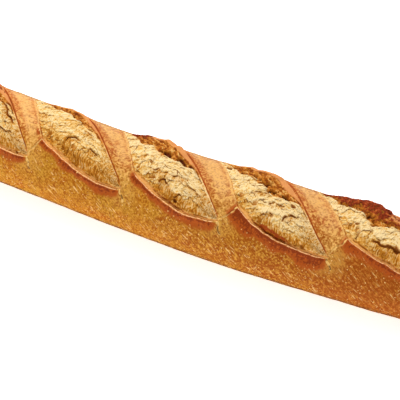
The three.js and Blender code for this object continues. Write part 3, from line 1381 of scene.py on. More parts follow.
@dataclass
class CrustSkin:
    """The whole crust: one closed skin with a pocket and a rolled lip at each slash."""

    form: SlashedForm
    finish: bpy.types.Material
    ring_step: float = 1.8
    top_reach: float = 52.0
    under_step: float = 3.4
    nose: float = 21.0
    nose_rings: int = 18
    refine_reach: float = 3.4
    refine_cuts: int = 3
    crack_reach: float = 1.2
    pocket_depth: float = 4.6
    pocket_wall: Pair = (0.0, 1.9)
    lip_height: float = 1.3
    lip_at: float = 0.4
    lip_outer: float = 2.5
    lip_inner: float = 0.6
    strap_height: float = 0.85
    strap_at: float = 1.9
    strap_spread: float = 1.9
    strap_ends: Pair = (0.7, 1.0)
    knot_height: float = 1.2
    knot_wide: float = 1.3
    ring_at: float = 1.5
    ring_spread: float = 0.9
    tip_reach: float = 11.0
    crack_depth: float = 0.9
    crack_rim: float = 0.3
    crack_spread: float = 0.45
    crack_step: float = 1.6
    band_reach: float = 5.4
    band_sway: float = 2.0
    band_starts: Pair = (-0.34, -0.24)
    band_ends: Pair = (0.93, 1.0)
    flare_at: float = 0.78
    flare_spread: float = 0.16
    seam_width: float = 0.5
    seam_starts: Pair = (-0.5, -0.1)
    seam_ends: Pair = (0.86, 1.0)
    crest_width: float = 0.52
    slash_reach: float = 0.8
    faraway: float = 30.0
    wave_size: float = 24.0
    pebble_size: float = 4.2
    rough_size: float = 1.7
    still_below: Pair = (0.5, 6.0)
    seed: int = 3

    def build(self) -> bpy.types.Object:
        """Make the crust.

        Returns:
            The finished object.
        """
        flat, faces = self._pattern()
        x, angle = flat[:, 0], flat[:, 1] / self.form.loaf.skin
        across = angle * self.form.loaf.skin_radius(x)
        height, traits = self._relief(x, across)
        points = self.form.over_skin(x, across, height)
        mesh = write_mesh("crust", points, faces)
        outward, _ = self.form.directions(x, across)
        traits |= {Trait.OUTWARD: outward, Trait.SIDE: np.abs(angle) / math.pi}
        traits[Trait.SKIN] = np.stack([x, across, np.zeros_like(x)], axis=-1)
        carry(mesh, traits)
        made = stand("crust", mesh)
        self._relief_tree().apply(made, self.finish)
        return made

    def _lines(self) -> tuple[Array, Array]:
        """Places of the rings along the loaf, and of the lines round it.

        Returns:
            Places along the loaf, and distances round the skin.
        """
        half = self.form.loaf.length / 2
        straight = half - self.nose
        count = round(2 * straight / self.ring_step)
        nose = half - self.nose * (np.arange(self.nose_rings, 0, -1) / self.nose_rings)[1:] ** 2
        along = np.concatenate([-nose[::-1], np.linspace(-straight, straight, count + 1), nose])
        end = math.pi * self.form.loaf.skin
        under = np.linspace(self.top_reach, end, round((end - self.top_reach) / self.under_step) + 1)[1:]
        top = np.linspace(-self.top_reach, self.top_reach, round(2 * self.top_reach / self.ring_step) + 1)
        return along, np.concatenate([-under[:-1][::-1], top, under])

    def _pattern(self) -> tuple[Array, list]:
        """The skin laid flat, with finer faces along the edges of the openings.

        Returns:
            Flat places, x by angle times the skin's radius, and the faces of the closed skin.
        """
        along, around = self._lines()
        rows, columns = len(along), len(around)
        flat = np.stack(np.meshgrid(along, around, indexing="ij"), axis=-1).reshape(-1, 2)
        half = self.form.loaf.length / 2
        flat = np.vstack([flat, [(-half, 0.0), (half, 0.0)]])
        quads = round_quads(rows, columns)
        faces = quads.reshape(-1, 4).tolist()
        first, last, final = rows * columns, rows * columns + 1, (rows - 1) * columns
        for k in range(columns):
            after = (k + 1) % columns
            faces.append([first, k, after])
            faces.append([last, final + after, final + k])
        middles = (flat[quads[..., 0]] + flat[quads[..., 2]]).reshape(-1, 2) / 2
        chosen = self._needs_detail(middles).reshape(rows - 1, columns)
        chosen[:, -1] = False  # the faces that close the rings have no middle on the flat skin
        return self._refined(flat, faces, np.flatnonzero(chosen))

    def _needs_detail(self, flat: Array) -> Array:
        """Which flat places lie by an edge of an opening or by a crack.

        Args:
            flat: Places on the flat skin.

        Returns:
            True for each that does.
        """
        x = flat[:, 0]
        across = flat[:, 1] / self.form.loaf.skin * self.form.loaf.skin_radius(x)
        found = np.zeros(len(flat), dtype=bool)
        for slash in self.form.slashes:
            part = np.flatnonzero(np.abs(x - slash.x) < slash.long * self.slash_reach)
            near, _, far, _ = slash.edge_distances(x[part], across[part])
            found[part] |= np.minimum(np.abs(near), np.abs(far)) < self.refine_reach
        for crack in self.form.cracks():
            part = np.flatnonzero(np.abs(x - crack.start[0]) < self.faraway)
            found[part] |= crack.distances(x[part], across[part])[0] < self.crack_reach + self.ring_step / 2
        return found

    def _refined(self, flat: Array, faces: list, chosen: Array) -> tuple[Array, list]:
        """Cut the chosen faces of the flat pattern into finer ones.

        Args:
            flat: Corners of the pattern.
            faces: Its faces.
            chosen: Numbers of the faces to cut.

        Returns:
            The finer corners and faces.
        """
        mesh = bpy.data.meshes.new("pattern")
        mesh.from_pydata(np.column_stack([flat, np.zeros(len(flat))]).tolist(), [], faces)
        cut = bmesh.new()
        cut.from_mesh(mesh)
        cut.faces.ensure_lookup_table()
        edges = list({edge for index in chosen for edge in cut.faces[index].edges})
        bmesh.ops.subdivide_edges(cut, edges=edges, cuts=self.refine_cuts, use_grid_fill=True)
        bmesh.ops.triangulate(cut, faces=[face for face in cut.faces if len(face.verts) > 4])
        finer = np.array([corner.co[:2] for corner in cut.verts])
        cut.verts.index_update()
        pattern = [[corner.index for corner in face.verts] for face in cut.faces]
        cut.free()
        bpy.data.meshes.remove(mesh)
        return finer, pattern

    def _relief(self, x: Array, across: Array) -> tuple[Array, dict[Trait, Array]]:
        """Heights of the lips, straps, pockets and cracks, and what the finish needs to know of them.

        Args:
            x: Places along the loaf.
            across: Places across it.

        Returns:
            The heights, and the traits by name.
        """
        height = np.zeros_like(x)
        named = (Trait.SCORCH, Trait.CREST, Trait.SEAM, Trait.FLUSH)
        named += (Trait.TEAR, Trait.GAP, Trait.BARE, Trait.PALE)
        traits = {one: np.zeros_like(x) for one in named}
        comb = np.full((len(x), 3), self.faraway)
        for slash in self.form.slashes:
            part = np.flatnonzero(np.abs(x - slash.x) < slash.long * self.slash_reach)
            near, near_share, far, far_share = slash.edge_distances(x[part], across[part])
            lip_spread = np.where(near > self.lip_at, self.lip_outer, self.lip_inner)
            lip = self._lip_strength(slash, near_share) * hump(self.lip_at, lip_spread, near)
            strap = hump(self.strap_at, self.strap_spread, far)
            strap = strap * (1 - ease(*self.strap_ends, np.abs(far_share)))
            inside = np.minimum(-near, -far)
            height[part] += self.lip_height * lip + self.strap_height * strap
            height[part] -= self.pocket_depth * ease(*self.pocket_wall, inside)
            self._mark(traits, part, self._slash_traits(slash, near, near_share, far, far_share, inside))
            knot_x, knot_across = slash.knot_place()
            away = np.hypot(x[part] - knot_x, across[part] - knot_across)
            height[part] += self.knot_height * slash.knot * hump(0.0, self.knot_wide, away)
            # a dark ring round the knot, and a spot on its top that takes the crest's painted highlight
            dark = 0.9 * hump(self.ring_at, self.ring_spread, away)
            ring = {Trait.SCORCH: dark, Trait.CREST: hump(0.0, 0.8, away)}
            self._mark(traits, part, {name: slash.knot * values for name, values in ring.items()})
            tip_x, tip_across = slash.tip()
            from_tip = np.hypot(x[part] - tip_x, (across[part] - tip_across) * 0.8)
            self._mark(traits, part, {Trait.PALE: hump(0.0, self.tip_reach, from_tip)})
            close = np.abs(near) < comb[part, 1]
            row = np.full_like(near, 9.0 * slash.seed)
            spots = np.stack([near_share * slash.long / 2, np.abs(near), row], axis=-1)
            comb[part[close]] = spots[close]
        for crack in self.form.cracks():
            part = np.flatnonzero(np.abs(x - crack.start[0]) < self.faraway)
            away, along, _ = crack.distances(x[part], across[part])
            broken = ease(-0.1, 0.35, wander(crack.seed + Draw.EDGE, along, self.crack_step))
            height[part] += self.crack_rim * hump(1.0, 0.6, away)
            height[part] -= self.crack_depth * crack.gape * hump(0.0, self.crack_spread, away) * broken
            wide = 0.15 + 0.25 * crack.gape + 0.3 * wander(crack.seed + Draw.WIDTH, along, self.crack_step)
            paled = (1 - ease(wide, wide + 0.45, away)) * crack.pale
            # the crack's open part, which takes painted shade
            open_part = hump(0.0, 0.4, away) * broken * crack.gape
            self._mark(traits, part, {Trait.TEAR: paled, Trait.GAP: open_part})
        traits[Trait.BARE] = 1 - traits[Trait.BARE]
        traits[Trait.COMB] = comb
        traits[Trait.BELOW] = across - self.form.lip_line(x)
        return height, traits

    @staticmethod
    def _mark(traits: dict[Trait, Array], part: Array, found: dict[Trait, Array]) -> None:
        """Keep the stronger of what is there and what is found."""
        for name, values in found.items():
            traits[name][part] = np.maximum(traits[name][part], values)

    def _slash_traits(
        self,
        slash: Slash,
        near: Array,
        near_share: Array,
        far: Array,
        far_share: Array,
        inside: Array,
    ) -> dict[Trait, Array]:
        """What the finish needs to know round one opening.

        Args:
            slash: The opening.
            near: Distance to its near edge.
            near_share: Where that is met.
            far: Distance to its far edge.
            far_share: Where that is met.
            inside: Distance into the opening.

        Returns:
            The traits by name.
        """
        place = near_share * slash.long / 2
        by_tip = hump(self.flare_at, self.flare_spread, near_share)
        reach = self.band_reach + self.band_sway * wander(slash.seed + Draw.REACH, place, 9.0)
        reach = (reach + slash.flare * by_tip) * slash.scorch
        body = ease(*self.band_starts, near_share) * (1 - ease(*self.band_ends, near_share))
        uneven = 0.85 + 0.3 * wander(slash.seed + Draw.BAND, place, 12.0) + 0.06 * slash.flare * by_tip
        band = ease(0.25, 0.75, near) * (1 - ease(0.35 * reach, 1.2 * reach, near))
        band = band * body * slash.scorch * uneven * (1 + 0.5 * hump(1.3, 0.9, near))
        knot = 0.5 * hump(0.0, 2.6, place - slash.peak * slash.long / 2) * hump(0.6, 2.0, near)
        left = 1 - ease(-0.36, -0.26, near_share)
        # the seam: the crease along the far edge, baked dark red with painted shade at its core
        seam_width = self.seam_width + 0.2 * wander(slash.seed + Draw.SEAM, far_share * 50, 6.0)
        seam = hump(0.1, seam_width, far) * ease(*self.seam_starts, far_share)
        seam = seam * (1 - ease(*self.seam_ends, far_share))
        # painted shade on the strap beside the seam and beside the next opening's left edge, where the
        # rolled strap turns from the light; partly a redder bake
        seam_side_shade = (1 - ease(1.0, 7.0, far)) * (1 - ease(0.75, 0.95, far_share)) * ease(-0.9, -0.6, far_share)
        left_edge_shade = 0.4 * (1 - ease(1.5, 5.5, near)) * ease(0.9, 1.6, near) * left
        return {
            Trait.SCORCH: np.maximum(band, knot),
            # the crest: where the painted highlight goes, and where the relief roughens the lip
            Trait.CREST: hump(0.0, self.crest_width, near) * body,
            Trait.SEAM: seam,
            Trait.FLUSH: np.maximum(seam_side_shade, left_edge_shade),
            Trait.TEAR: 0.75 * hump(0.35, 0.45, near) * left,
            Trait.BARE: ease(-1.4, 0.4, inside),
        }

    @staticmethod
    def _lip_strength(slash: Slash, share: Array) -> Array:
        """How far the lip has rolled up at shares of the opening's half length."""
        body = ease(-0.38, -0.18, share) * (1 - ease(0.84, 1.0, share))
        return 0.12 + 0.88 * body * (1 + 0.25 * wander(slash.seed + Draw.LIP, share * 100, 9.0))

    def _relief_tree(self) -> ReliefTree:
        """The crust's gentle waves and fine pebbles.

        Returns:
            The tree, ready to be applied.
        """
        sizes = {"Wave Height": 0.9, "Pebble Height": 0.35, "Crest Roughness": 3.4, "Seed": self.seed}
        tree = ReliefTree("crust relief", sizes)
        sheet = tree.sheet
        place = tree.seeded(sheet.scaled(sheet.wire("GeometryNodeInputPosition"), 1 / MM))
        waves = (sheet.noise(place, self.wave_size, 2.0) - 0.5) * tree.size("Wave Height")
        pebbles = (sheet.noise(place, self.pebble_size, 2.0, 0.6) - 0.5) * tree.size("Pebble Height")
        rough = (sheet.noise(place, self.rough_size, 2.0, 0.6) - 0.5) * tree.size("Crest Roughness")
        rough = rough * tree.trait(Trait.CREST)
        low, high = (level * MM for level in self.still_below)
        above = sheet.parts(sheet.wire("GeometryNodeInputPosition"))[2].ease(low, high)
        tree.move(sheet.scaled(tree.trait(Trait.OUTWARD, vector=True), (waves + pebbles + rough) * above))
        return tree


@dataclass
class TornCrumb:
    """The crumb that swelled up in one slash, from the lip's groove over its dome to the ragged ear."""

    form: SlashedForm
    slash: Slash
    finish: bpy.types.Material
    step: float = 0.3
    reach: float = 0.985
    root: float = -7.5
    full_width: float = 26.0
    lip_profile: tuple[Pair, ...] = (
        (0.0, -0.7),
        (0.7, -0.5),
        (1.4, -0.6),
        (2.0, -0.8),
        (2.6, -0.2),
        (3.3, -0.5),
        (4.8, -0.3),
    )
    side_profile: tuple[Pair, ...] = (
        (0.0, -1.0),
        (0.5, -0.4),
        (1.1, -0.15),
        (1.8, 0.0),
        (2.6, 0.1),
        (3.6, 0.25),
        (5.2, 0.45),
    )
    groove_shares: tuple[float, ...] = (0.5, 0.8, 1.0, 0.75, 0.1, 0.0, 0.0)
    groove_at: float = 0.28
    groove_spread: float = 0.3
    ledge_sway: float = 0.35
    ledge_dip: float = 0.5
    dome_shares: tuple[float, ...] = (0.2, 0.5, 0.8)
    dome_arch: Pair = (0.22, 0.82)
    dome_sink: float = 0.5
    strip_end: float = 1.6
    strip_fade: Pair = (-0.25, 0.3)
    ear_profile: tuple[Pair, ...] = ((0.7, 0.45), (0.42, 0.85), (0.24, 1.0), (0.09, 0.75))
    ear_sink: float = 0.3
    ear_foot: float = -3.4
    ear_at: float = -0.55
    ear_spread: float = 0.45
    toe_share: float = 0.45
    toe_sink: float = 1.1
    tear_sway: float = 0.9
    tear_sway_step: float = 2.2
    tear_front: Pair = (0.75, 3.2)
    tear_back: Pair = (0.5, 2.6)
    tear_stretch: float = 4.5
    tear_stations: int = 70
    gap_wall: Pair = (0.6, 1.3)
    gap_breaks: Pair = (-0.55, -0.15)
    gap_step: float = 2.4
    cavity_ragged: float = 0.3
    cavity_wall: Pair = (0.45, 1.05)
    fibre_turn: Pair = (0.4, 0.85)
    seed_stride: float = 31.0

    def build(self) -> bpy.types.Object:
        """Make the crumb of this slash.

        Returns:
            The finished object.
        """
        share, over, near, far, strip, height = self._surface()
        q = near - over * (near - far)
        p = np.broadcast_to(self.slash.along(share), q.shape)
        drops, marks = self._damage(p, q)
        x, across = self.slash.on_skin(p, q)
        top = self.form.over_skin(x, across, height + drops * np.minimum(1, (q - far) / 2))
        ends = [-1, 0]
        bottom = self.form.over_skin(x[:, ends], across[:, ends], np.full((len(share), 2), self.root))
        mesh = self._lofted(np.concatenate([top, bottom], axis=1))

        def padded(*columns: Array) -> Array:
            """Values for the rows of the top and, after them, of the bottom."""
            full = [np.broadcast_to(one, x.shape) for one in columns]
            found = [np.concatenate([one, one[:, ends]], axis=1).ravel() for one in full]
            return np.stack(found, axis=-1) if len(found) > 1 else found[0]

        outward, nearward = self.form.directions(x, across)
        still = np.zeros_like(outward[:, :2])
        shift = self.seed_stride * self.slash.seed
        turn = math.radians(self.slash.turn) * (1 - ease(*self.fibre_turn, over))
        lay = p * np.cos(turn) - q * np.sin(turn), p * np.sin(turn) + q * np.cos(turn)
        lip_side = np.where(share < self.slash.peak, self.slash.wide / 2, near)
        traits = {
            Trait.OUTWARD: np.concatenate([outward, still], axis=1).reshape(-1, 3),
            Trait.NEARWARD: np.concatenate([nearward, still], axis=1).reshape(-1, 3),
            Trait.SPOT: padded(p, q, shift),
            Trait.LAY: padded(*lay, shift),
            Trait.INSET: padded(near - q, q - far, share),
            Trait.STRIP: padded((q - far) / strip),
            Trait.DROP: padded(lip_side - q),
            Trait.GROOVE: padded(self._groove(share) * self.slash.groove / 3.0),
            Trait.CHAR: padded(self._char(share)),
        }
        carry(mesh, traits | {trait: padded(values) for trait, values in marks.items()})
        mesh.name = f"torn_crumb_{self.slash.seed}"
        made = stand(mesh.name, mesh)
        CrumbRelief(self.slash).tree.apply(made, self.finish)
        return made

    def _surface(self) -> tuple[Array, ...]:
        """Stations, rows across them, the opening's edges, the far strip's width and the plain height.

        Returns:
            All six, with a row for each station.
        """
        along = round(self.slash.long * self.reach / self.step)
        share = np.linspace(-self.reach, self.reach, along)[:, None]
        over = np.linspace(0, 1, round(self.slash.wide / self.step))[None, :]
        near, far = self.slash.edges(share)
        wide = near - far
        fit = np.minimum(1, wide / self.full_width)
        fade = 1 - np.abs(share) ** 4
        ear = self._ear_height(share) * fade
        narrowing = ease(*self.strip_fade, share)
        ragged = 1 + 0.16 * wander(self.slash.seed + Draw.STRIP, share * 50, 5.0)
        strip = (self.slash.strip * (1 - narrowing) + self.strip_end * narrowing) * fit * ragged
        height = np.empty((along, over.size))
        for i, row in enumerate(np.column_stack([share, wide, fit, fade, ear, strip])):
            inset, level = self._profile(*row)
            height[i] = np.interp(over[0] * wide[i, 0], inset, level)
        return share, over, near, far, strip, softened(height, 3)

    def _damage(self, p: Array, q: Array) -> tuple[Array, dict[Trait, Array]]:
        """Steps at the opening's tears and hollows at its cavities.

        Args:
            p: Places along the opening.
            q: Places across it.

        Returns:
            What they add to the height, and what the relief needs to know of them.
        """
        flat_p, flat_q = p.ravel(), q.ravel()
        height = np.zeros(flat_p.size)
        marks = {one: np.zeros(flat_p.size) for one in (Trait.GAP, Trait.STRETCH, Trait.PIT)}
        for number, tear in enumerate(self.slash.tears):
            start, end = ((float(self.slash.along(share)), q) for share, q in (tear.start, tear.end))
            seed = 10 * self.slash.seed + number
            shape = self.tear_sway, self.tear_sway_step, tear.bow
            line = Crack(start, end, seed, *shape, stations=self.tear_stations)
            away, along, side = line.distances(flat_p, flat_q)
            strength = tear.step * np.maximum(0, np.sin(math.pi * along / line.long())) ** 0.5
            front = side > 0
            sides = (self.tear_front, self.tear_back)
            drop, rise = (share * np.exp(-away / reach) for share, reach in sides)
            height += strength * np.where(front, -drop, rise)
            broken = ease(*self.gap_breaks, wander(seed + Draw.GAP, along, self.gap_step))
            broken = broken if tear.gap < 1 else 1.0
            inner, outer = (share * tear.gap for share in self.gap_wall)
            gap = front * (1 - ease(inner, outer, away)) * broken
            gap = gap * np.minimum(1, strength * 1.3)
            marks[Trait.GAP] = np.maximum(marks[Trait.GAP], gap)
            stretch = front * np.exp(-((away / self.tear_stretch) ** 2)) * np.minimum(1, strength)
            marks[Trait.STRETCH] = np.maximum(marks[Trait.STRETCH], stretch)
        for number, cavity in enumerate(self.slash.cavities):
            off_p, off_q = flat_p - float(self.slash.along(cavity.share)), flat_q - cavity.q
            quarters = 4 + np.arctan2(off_q, off_p) * 2.0 / math.pi
            ragged = self.cavity_ragged * wander(10 * self.slash.seed + number + Draw.EDGE, quarters, 0.5)
            away = np.hypot(2 * off_p / cavity.long, 2 * off_q / cavity.wide) * (1 + ragged)
            bowl = 1 - ease(*self.cavity_wall, away)
            height -= cavity.depth * bowl
            marks[Trait.PIT] = np.maximum(marks[Trait.PIT], bowl * cavity.brown)
            marks[Trait.STRETCH] = np.maximum(marks[Trait.STRETCH], bowl * (1 - cavity.brown))
        return height.reshape(p.shape), {one: values.reshape(p.shape) for one, values in marks.items()}

    def _groove(self, share: Array) -> Array:
        """How deep the gap behind the lip is along the opening, from 0 to about 1."""
        uneven = 1 + 0.2 * wander(self.slash.seed + Draw.GROOVE, share * 50, 8.0)
        return hump(self.groove_at, self.groove_spread, share) * uneven

    def _char(self, share: Array) -> Array:
        """How burnt the ear is along the opening."""
        uneven = 1 + 0.4 * wander(self.slash.seed + Draw.CHAR, share * 50, 4.0)
        return self.slash.char * hump(self.slash.char_at, self.slash.char_spread, share) * uneven

    def _ear_height(self, share: Array) -> Array:
        """Height of the ear's crest along the opening."""
        ragged = 1 + 0.25 * wander(self.slash.seed + Draw.EAR, share * 100, 7.0)
        return self.slash.ear * hump(self.ear_at, self.ear_spread, share) * ragged

    def _profile(
        self, share: float, wide: float, fit: float, fade: float, ear: float, strip: float
    ) -> tuple[list, list]:
        """One row's plain profile, as distances from the near edge and heights.

        Args:
            share: Share of the opening's half length.
            wide: Width there.
            fit: Share of its full size that the profile has.
            fade: Share of its height that is left near the ends.
            ear: Height of the ear.
            strip: Width of the strip that the ear takes.

        Returns:
            The distances and the heights.
        """
        lip = float(ease(*LIP_STARTS, np.array(share)))
        place = np.array([share * self.slash.long / 2])
        sway = 1 + self.ledge_sway * float(wander(self.slash.seed + Draw.LEDGE, place, 5.0)[0]) * lip
        dip = self.ledge_dip * float(wander(self.slash.seed + Draw.DIP, place, 3.5)[0]) * lip
        groove = float(self._groove(np.array(share)))
        points = []
        for rolled, plain, deep in zip(self.lip_profile, self.side_profile, self.groove_shares):
            inset = (rolled[0] * sway * lip + plain[0] * (1 - lip)) * fit
            level = rolled[1] - self.slash.groove * groove * deep + dip * (rolled[0] > 2.5)
            points.append((inset, level * lip + plain[1] * (1 - lip)))
        rim, toe = points[-1][0], wide - strip
        low, high = self.dome_arch
        for middle in self.dome_shares:
            arch = math.sin(math.pi * (low + (high - low) * middle))
            points.append((rim + (toe - rim) * middle, self.slash.dome * arch * fade - self.dome_sink))
        points.append((toe, self.toe_share * self.slash.dome * fade - self.toe_sink))
        points += [(wide - inset * strip, ear * level - self.ear_sink) for inset, level in self.ear_profile]
        points.append((wide, self.ear_foot))
        return [point[0] for point in points], [point[1] for point in points]

    @staticmethod
    def _lofted(rows: Array) -> bpy.types.Mesh:
        """Close rows of points into one solid skin.

        Args:
            rows: One closed row of points for each station.

        Returns:
            The mesh.
        """
        count, sides = rows.shape[:2]
        faces = round_quads(count, sides).reshape(-1, 4)[:, ::-1].tolist()
        faces.append(list(range(sides)))
        faces.append(list(range((count - 1) * sides, count * sides))[::-1])
        return write_mesh("crumb", rows.reshape(-1, 3), faces)


class CrumbRelief:
    """The fine relief of one opening's crumb, and what its finish needs to know of it."""

    heights: dict[str, float] = {
        "Lump Height": 1.6,
        "Plate Height": 0.55,
        "Scale Height": 0.25,
        "Fibre Height": 1.1,
        "Hole Depth": 1.4,
        "Pocket Depth": 2.8,
        "Crag Height": 2.6,
        "Thread Height": 3.6,
    }
    lump_size: float = 11.0
    strand_size: float = 1.1
    strand_squeeze: float = 0.2
    rock_size: float = 3.4
    hole_size: float = 4.6
    pocket_size: float = 2.2
    thread_size: float = 1.6
    notch_size: float = 3.0
    fibre_edge: float = 7.0
    fibre_edge_reach: float = 9.0
    lean: float = 1.6
    side_inset: float = 3.0
    body_starts: Pair = (2.4, 3.8)
    body_ends: Pair = (0.95, 1.15)
    tip_starts: Pair = (0.66, 0.85)

    def __init__(self, slash: Slash) -> None:
        """Make the tree: plates, fibres, pockets and crags.

        Args:
            slash: The opening.
        """
        sizes = self.heights | {"Seed": slash.seed}
        self.tree = ReliefTree(f"torn crumb {slash.seed}", sizes)
        self.sheet = self.tree.sheet
        self.spot = self.tree.seeded(self.tree.trait(Trait.SPOT, vector=True))
        inset = self.tree.trait(Trait.INSET, vector=True)
        self.from_near, self.from_far, self.share = self.sheet.parts(inset)
        self.strip_share, self.drop = self.tree.trait(Trait.STRIP), self.tree.trait(Trait.DROP)
        self.lip_zone = self.share.ease(*LIP_STARTS)
        clear_of_lip = self.from_near + (1 - self.lip_zone) * self.side_inset
        self.body = clear_of_lip.ease(*self.body_starts) * self.strip_share.ease(*self.body_ends)
        self.strip = self.strip_share.ease(1.08, 0.94) * self.share.ease(0.5, 0.15)
        self.pale, self.golden = slash.pale, slash.golden
        self._lay_out()
        self._raise()

    def _lay_out(self) -> None:
        """Warp the places that the plates and the fibres follow."""
        sheet = self.sheet
        lay = self.tree.seeded(self.tree.trait(Trait.LAY, vector=True))
        bend = sheet.swirl(lay, 11.0, 1.0, 6.0)
        buckle = sheet.swirl(lay, 4.2, 1.0, 3.6)
        self.shake = sheet.swirl(lay, 1.7, 2.0, 1.3)
        self.weave = sheet.vector("ADD", sheet.vector("ADD", lay, bend), sheet.scaled(self.shake, 0.3))
        buckled = sheet.vector("ADD", self.weave, buckle)
        self.plate = sheet.vector("ADD", buckled, sheet.scaled(self.shake, 0.5))
        self.tree.keep(Trait.WEAVE, self.weave, vector=True)
        self.tree.keep(Trait.PLATE, self.plate, vector=True)

    def _raise(self) -> None:
        """Raise the plates, fibres and crags, sink the holes and pockets, and keep the finish's masks."""
        sheet, tree, share, body, strip = self.sheet, self.tree, self.share, self.body, self.strip
        gap, stretch, pit = tree.trait(Trait.GAP), tree.trait(Trait.STRETCH), tree.trait(Trait.PIT)
        char = tree.trait(Trait.CHAR)
        rise, _ = plates(sheet, self.plate, LARGE_PLATES)
        low_rise, _ = plates(sheet, self.plate, SMALL_PLATES)
        combed = sheet.vector("MULTIPLY", self.weave, (1.0, self.strand_squeeze, 1.0))
        strand = sheet.noise(combed, self.strand_size, 2.0, 0.7)
        rocky = sheet.noise(sheet.vector("ADD", self.spot, self.shake), self.rock_size, 4.0, 0.62) - 0.5
        edge = (sheet.noise(self.weave, self.fibre_edge, 1.0) - 0.5) * self.fibre_edge_reach
        uneven_drop = self.drop + edge
        by_lip = uneven_drop.ease(0.66 * self.golden, 0.42 * self.golden) * share.ease(-0.1, 0.25)
        fibrous = (stretch.ease(0.2, 0.7) * 0.8).most(share.ease(0.4, 0.72) * 0.85).most(by_lip) * body
        holes = sheet.noise(sheet.vector("ADD", self.plate, self.shake), self.hole_size, 1.0)
        holes = holes.ease(0.61, 0.7) * self.drop.ease(GOLDEN_DROP, 9.0) * body
        holes = holes * share.ease(-0.75, -0.55) * share.ease(0.35, 0.1)
        frayed = sheet.vector("ADD", self.spot, sheet.scaled(self.shake, 1.4))
        along_strip = share.ease(-0.95, -0.8) * share.ease(0.6, 0.3)
        pocket_line = self.strip_share.hump(0.9, 0.14) * along_strip
        torn = sheet.noise(sheet.vector("MULTIPLY", frayed, (0.5, 0.35, 1.0)), self.pocket_size, 1.0)
        pockets = pocket_line * torn.ease(0.5, 0.56)
        inner = strip * self.strip_share.ease(0.34, 0.5)
        stretched = sheet.vector("MULTIPLY", frayed, (0.3, 1.0, 1.0))
        threads = sheet.noise(stretched, self.thread_size, 2.0, 0.6)

        whole = body * (1 - 0.7 * fibrous)
        crag = (inner * 0.55 + strip * char.least(1.0)) * self.from_far.ease(0.6, 3.0)
        height = (sheet.noise(self.spot, self.lump_size, 1.0) - 0.5) * tree.size("Lump Height") * body
        height = height + rise * tree.size("Plate Height") * whole
        height = height + low_rise * tree.size("Scale Height") * whole
        height = height + (strand - 0.5) * tree.size("Fibre Height") * fibrous
        height = height - (gap * 0.5 + holes) * tree.size("Hole Depth")
        height = height - pockets * tree.size("Pocket Depth")
        height = height + rocky * tree.size("Crag Height") * crag
        height = height + (threads - 0.5) * tree.size("Thread Height") * inner
        height = height + rocky * self.from_near.ease(0.3, 1.8) * (1 - strip)
        held = self.from_far.ease(0.0, 0.8) * self.from_near.ease(0.0, 0.8)
        outward = sheet.scaled(tree.trait(Trait.OUTWARD, vector=True), height * held)
        lean = (rocky + 0.25) * self.lean * crag * held
        tree.move(sheet.vector("ADD", outward, sheet.scaled(tree.trait(Trait.NEARWARD, vector=True), lean)))

        uneven = sheet.noise(self.spot, self.notch_size, 1.0)
        wider = tree.trait(Trait.GROOVE).ease(0.4, 0.8) * 2.2
        shelf = (self.from_near + (uneven - 0.5) * 2.4 - wider).ease(2.6, 1.9) * self.lip_zone
        notch = self.from_near.hump(2.2, 0.5) * self.lip_zone * uneven.ease(0.46, 0.6)
        dark_strands = strand.ease(0.44, 0.32) * fibrous * 0.6
        crevices = (-rocky).ease(0.05, 0.2) * inner * 0.9
        # hollow: where painted shade goes: the tears' gaps, pockets, holes, cavities, crevices, between
        # fibres and in the notch behind the lip
        hollow = gap.most(pockets).most(holes * 0.35).most(pit)
        tree.keep(Trait.HOLLOW, hollow.most(crevices).most(dark_strands).most(notch * 0.7))
        # toast: the ear's strip; holes, cavities and the pockets' line take the same darker colour
        tree.keep(Trait.TOAST, strip.most(holes * 0.5).most(pit * 0.6).most(pocket_line * 0.6))
        tree.keep(Trait.RIM, strip * self.strip_share.ease(0.5, 0.34))
        tree.keep(Trait.INNER, shelf)
        tree.keep(Trait.CHAR, char * strip * self.strip_share.ease(1.0, 0.5))
        tree.keep(Trait.FIBRE, fibrous)
        tree.keep(Trait.BODY, body)
        # lit: the crumb pales away from the lip; the darker crumb near the lip is partly the golden torn
        # layer, partly painted shade
        lit = self.drop / (GOLDEN_DROP + (self.golden - GOLDEN_DROP) * share.ease(-0.3, 0.1))
        bright = self.pale + share.ease(*self.tip_starts) * 0.38 + lit.ease(0.08, 1.0) * 0.46
        bright = bright - fibrous * self.pale * 0.45 + (strand - 0.5) * 1.2 * fibrous
        # painted light: plates lighter towards their raised lower edges
        bright = bright + (low_rise * 0.1 + rise * 0.12) * whole
        # the ear's tone is its relief's height, so its colours carry painted highlights and shade
        flaky = sheet.mix(char.least(1.0), (threads - 0.5) * 2.0 + 0.5, rocky * 1.4 + 0.5, "FLOAT")
        tree.keep(Trait.TONE, sheet.mix(strip, bright, flaky, "FLOAT"))


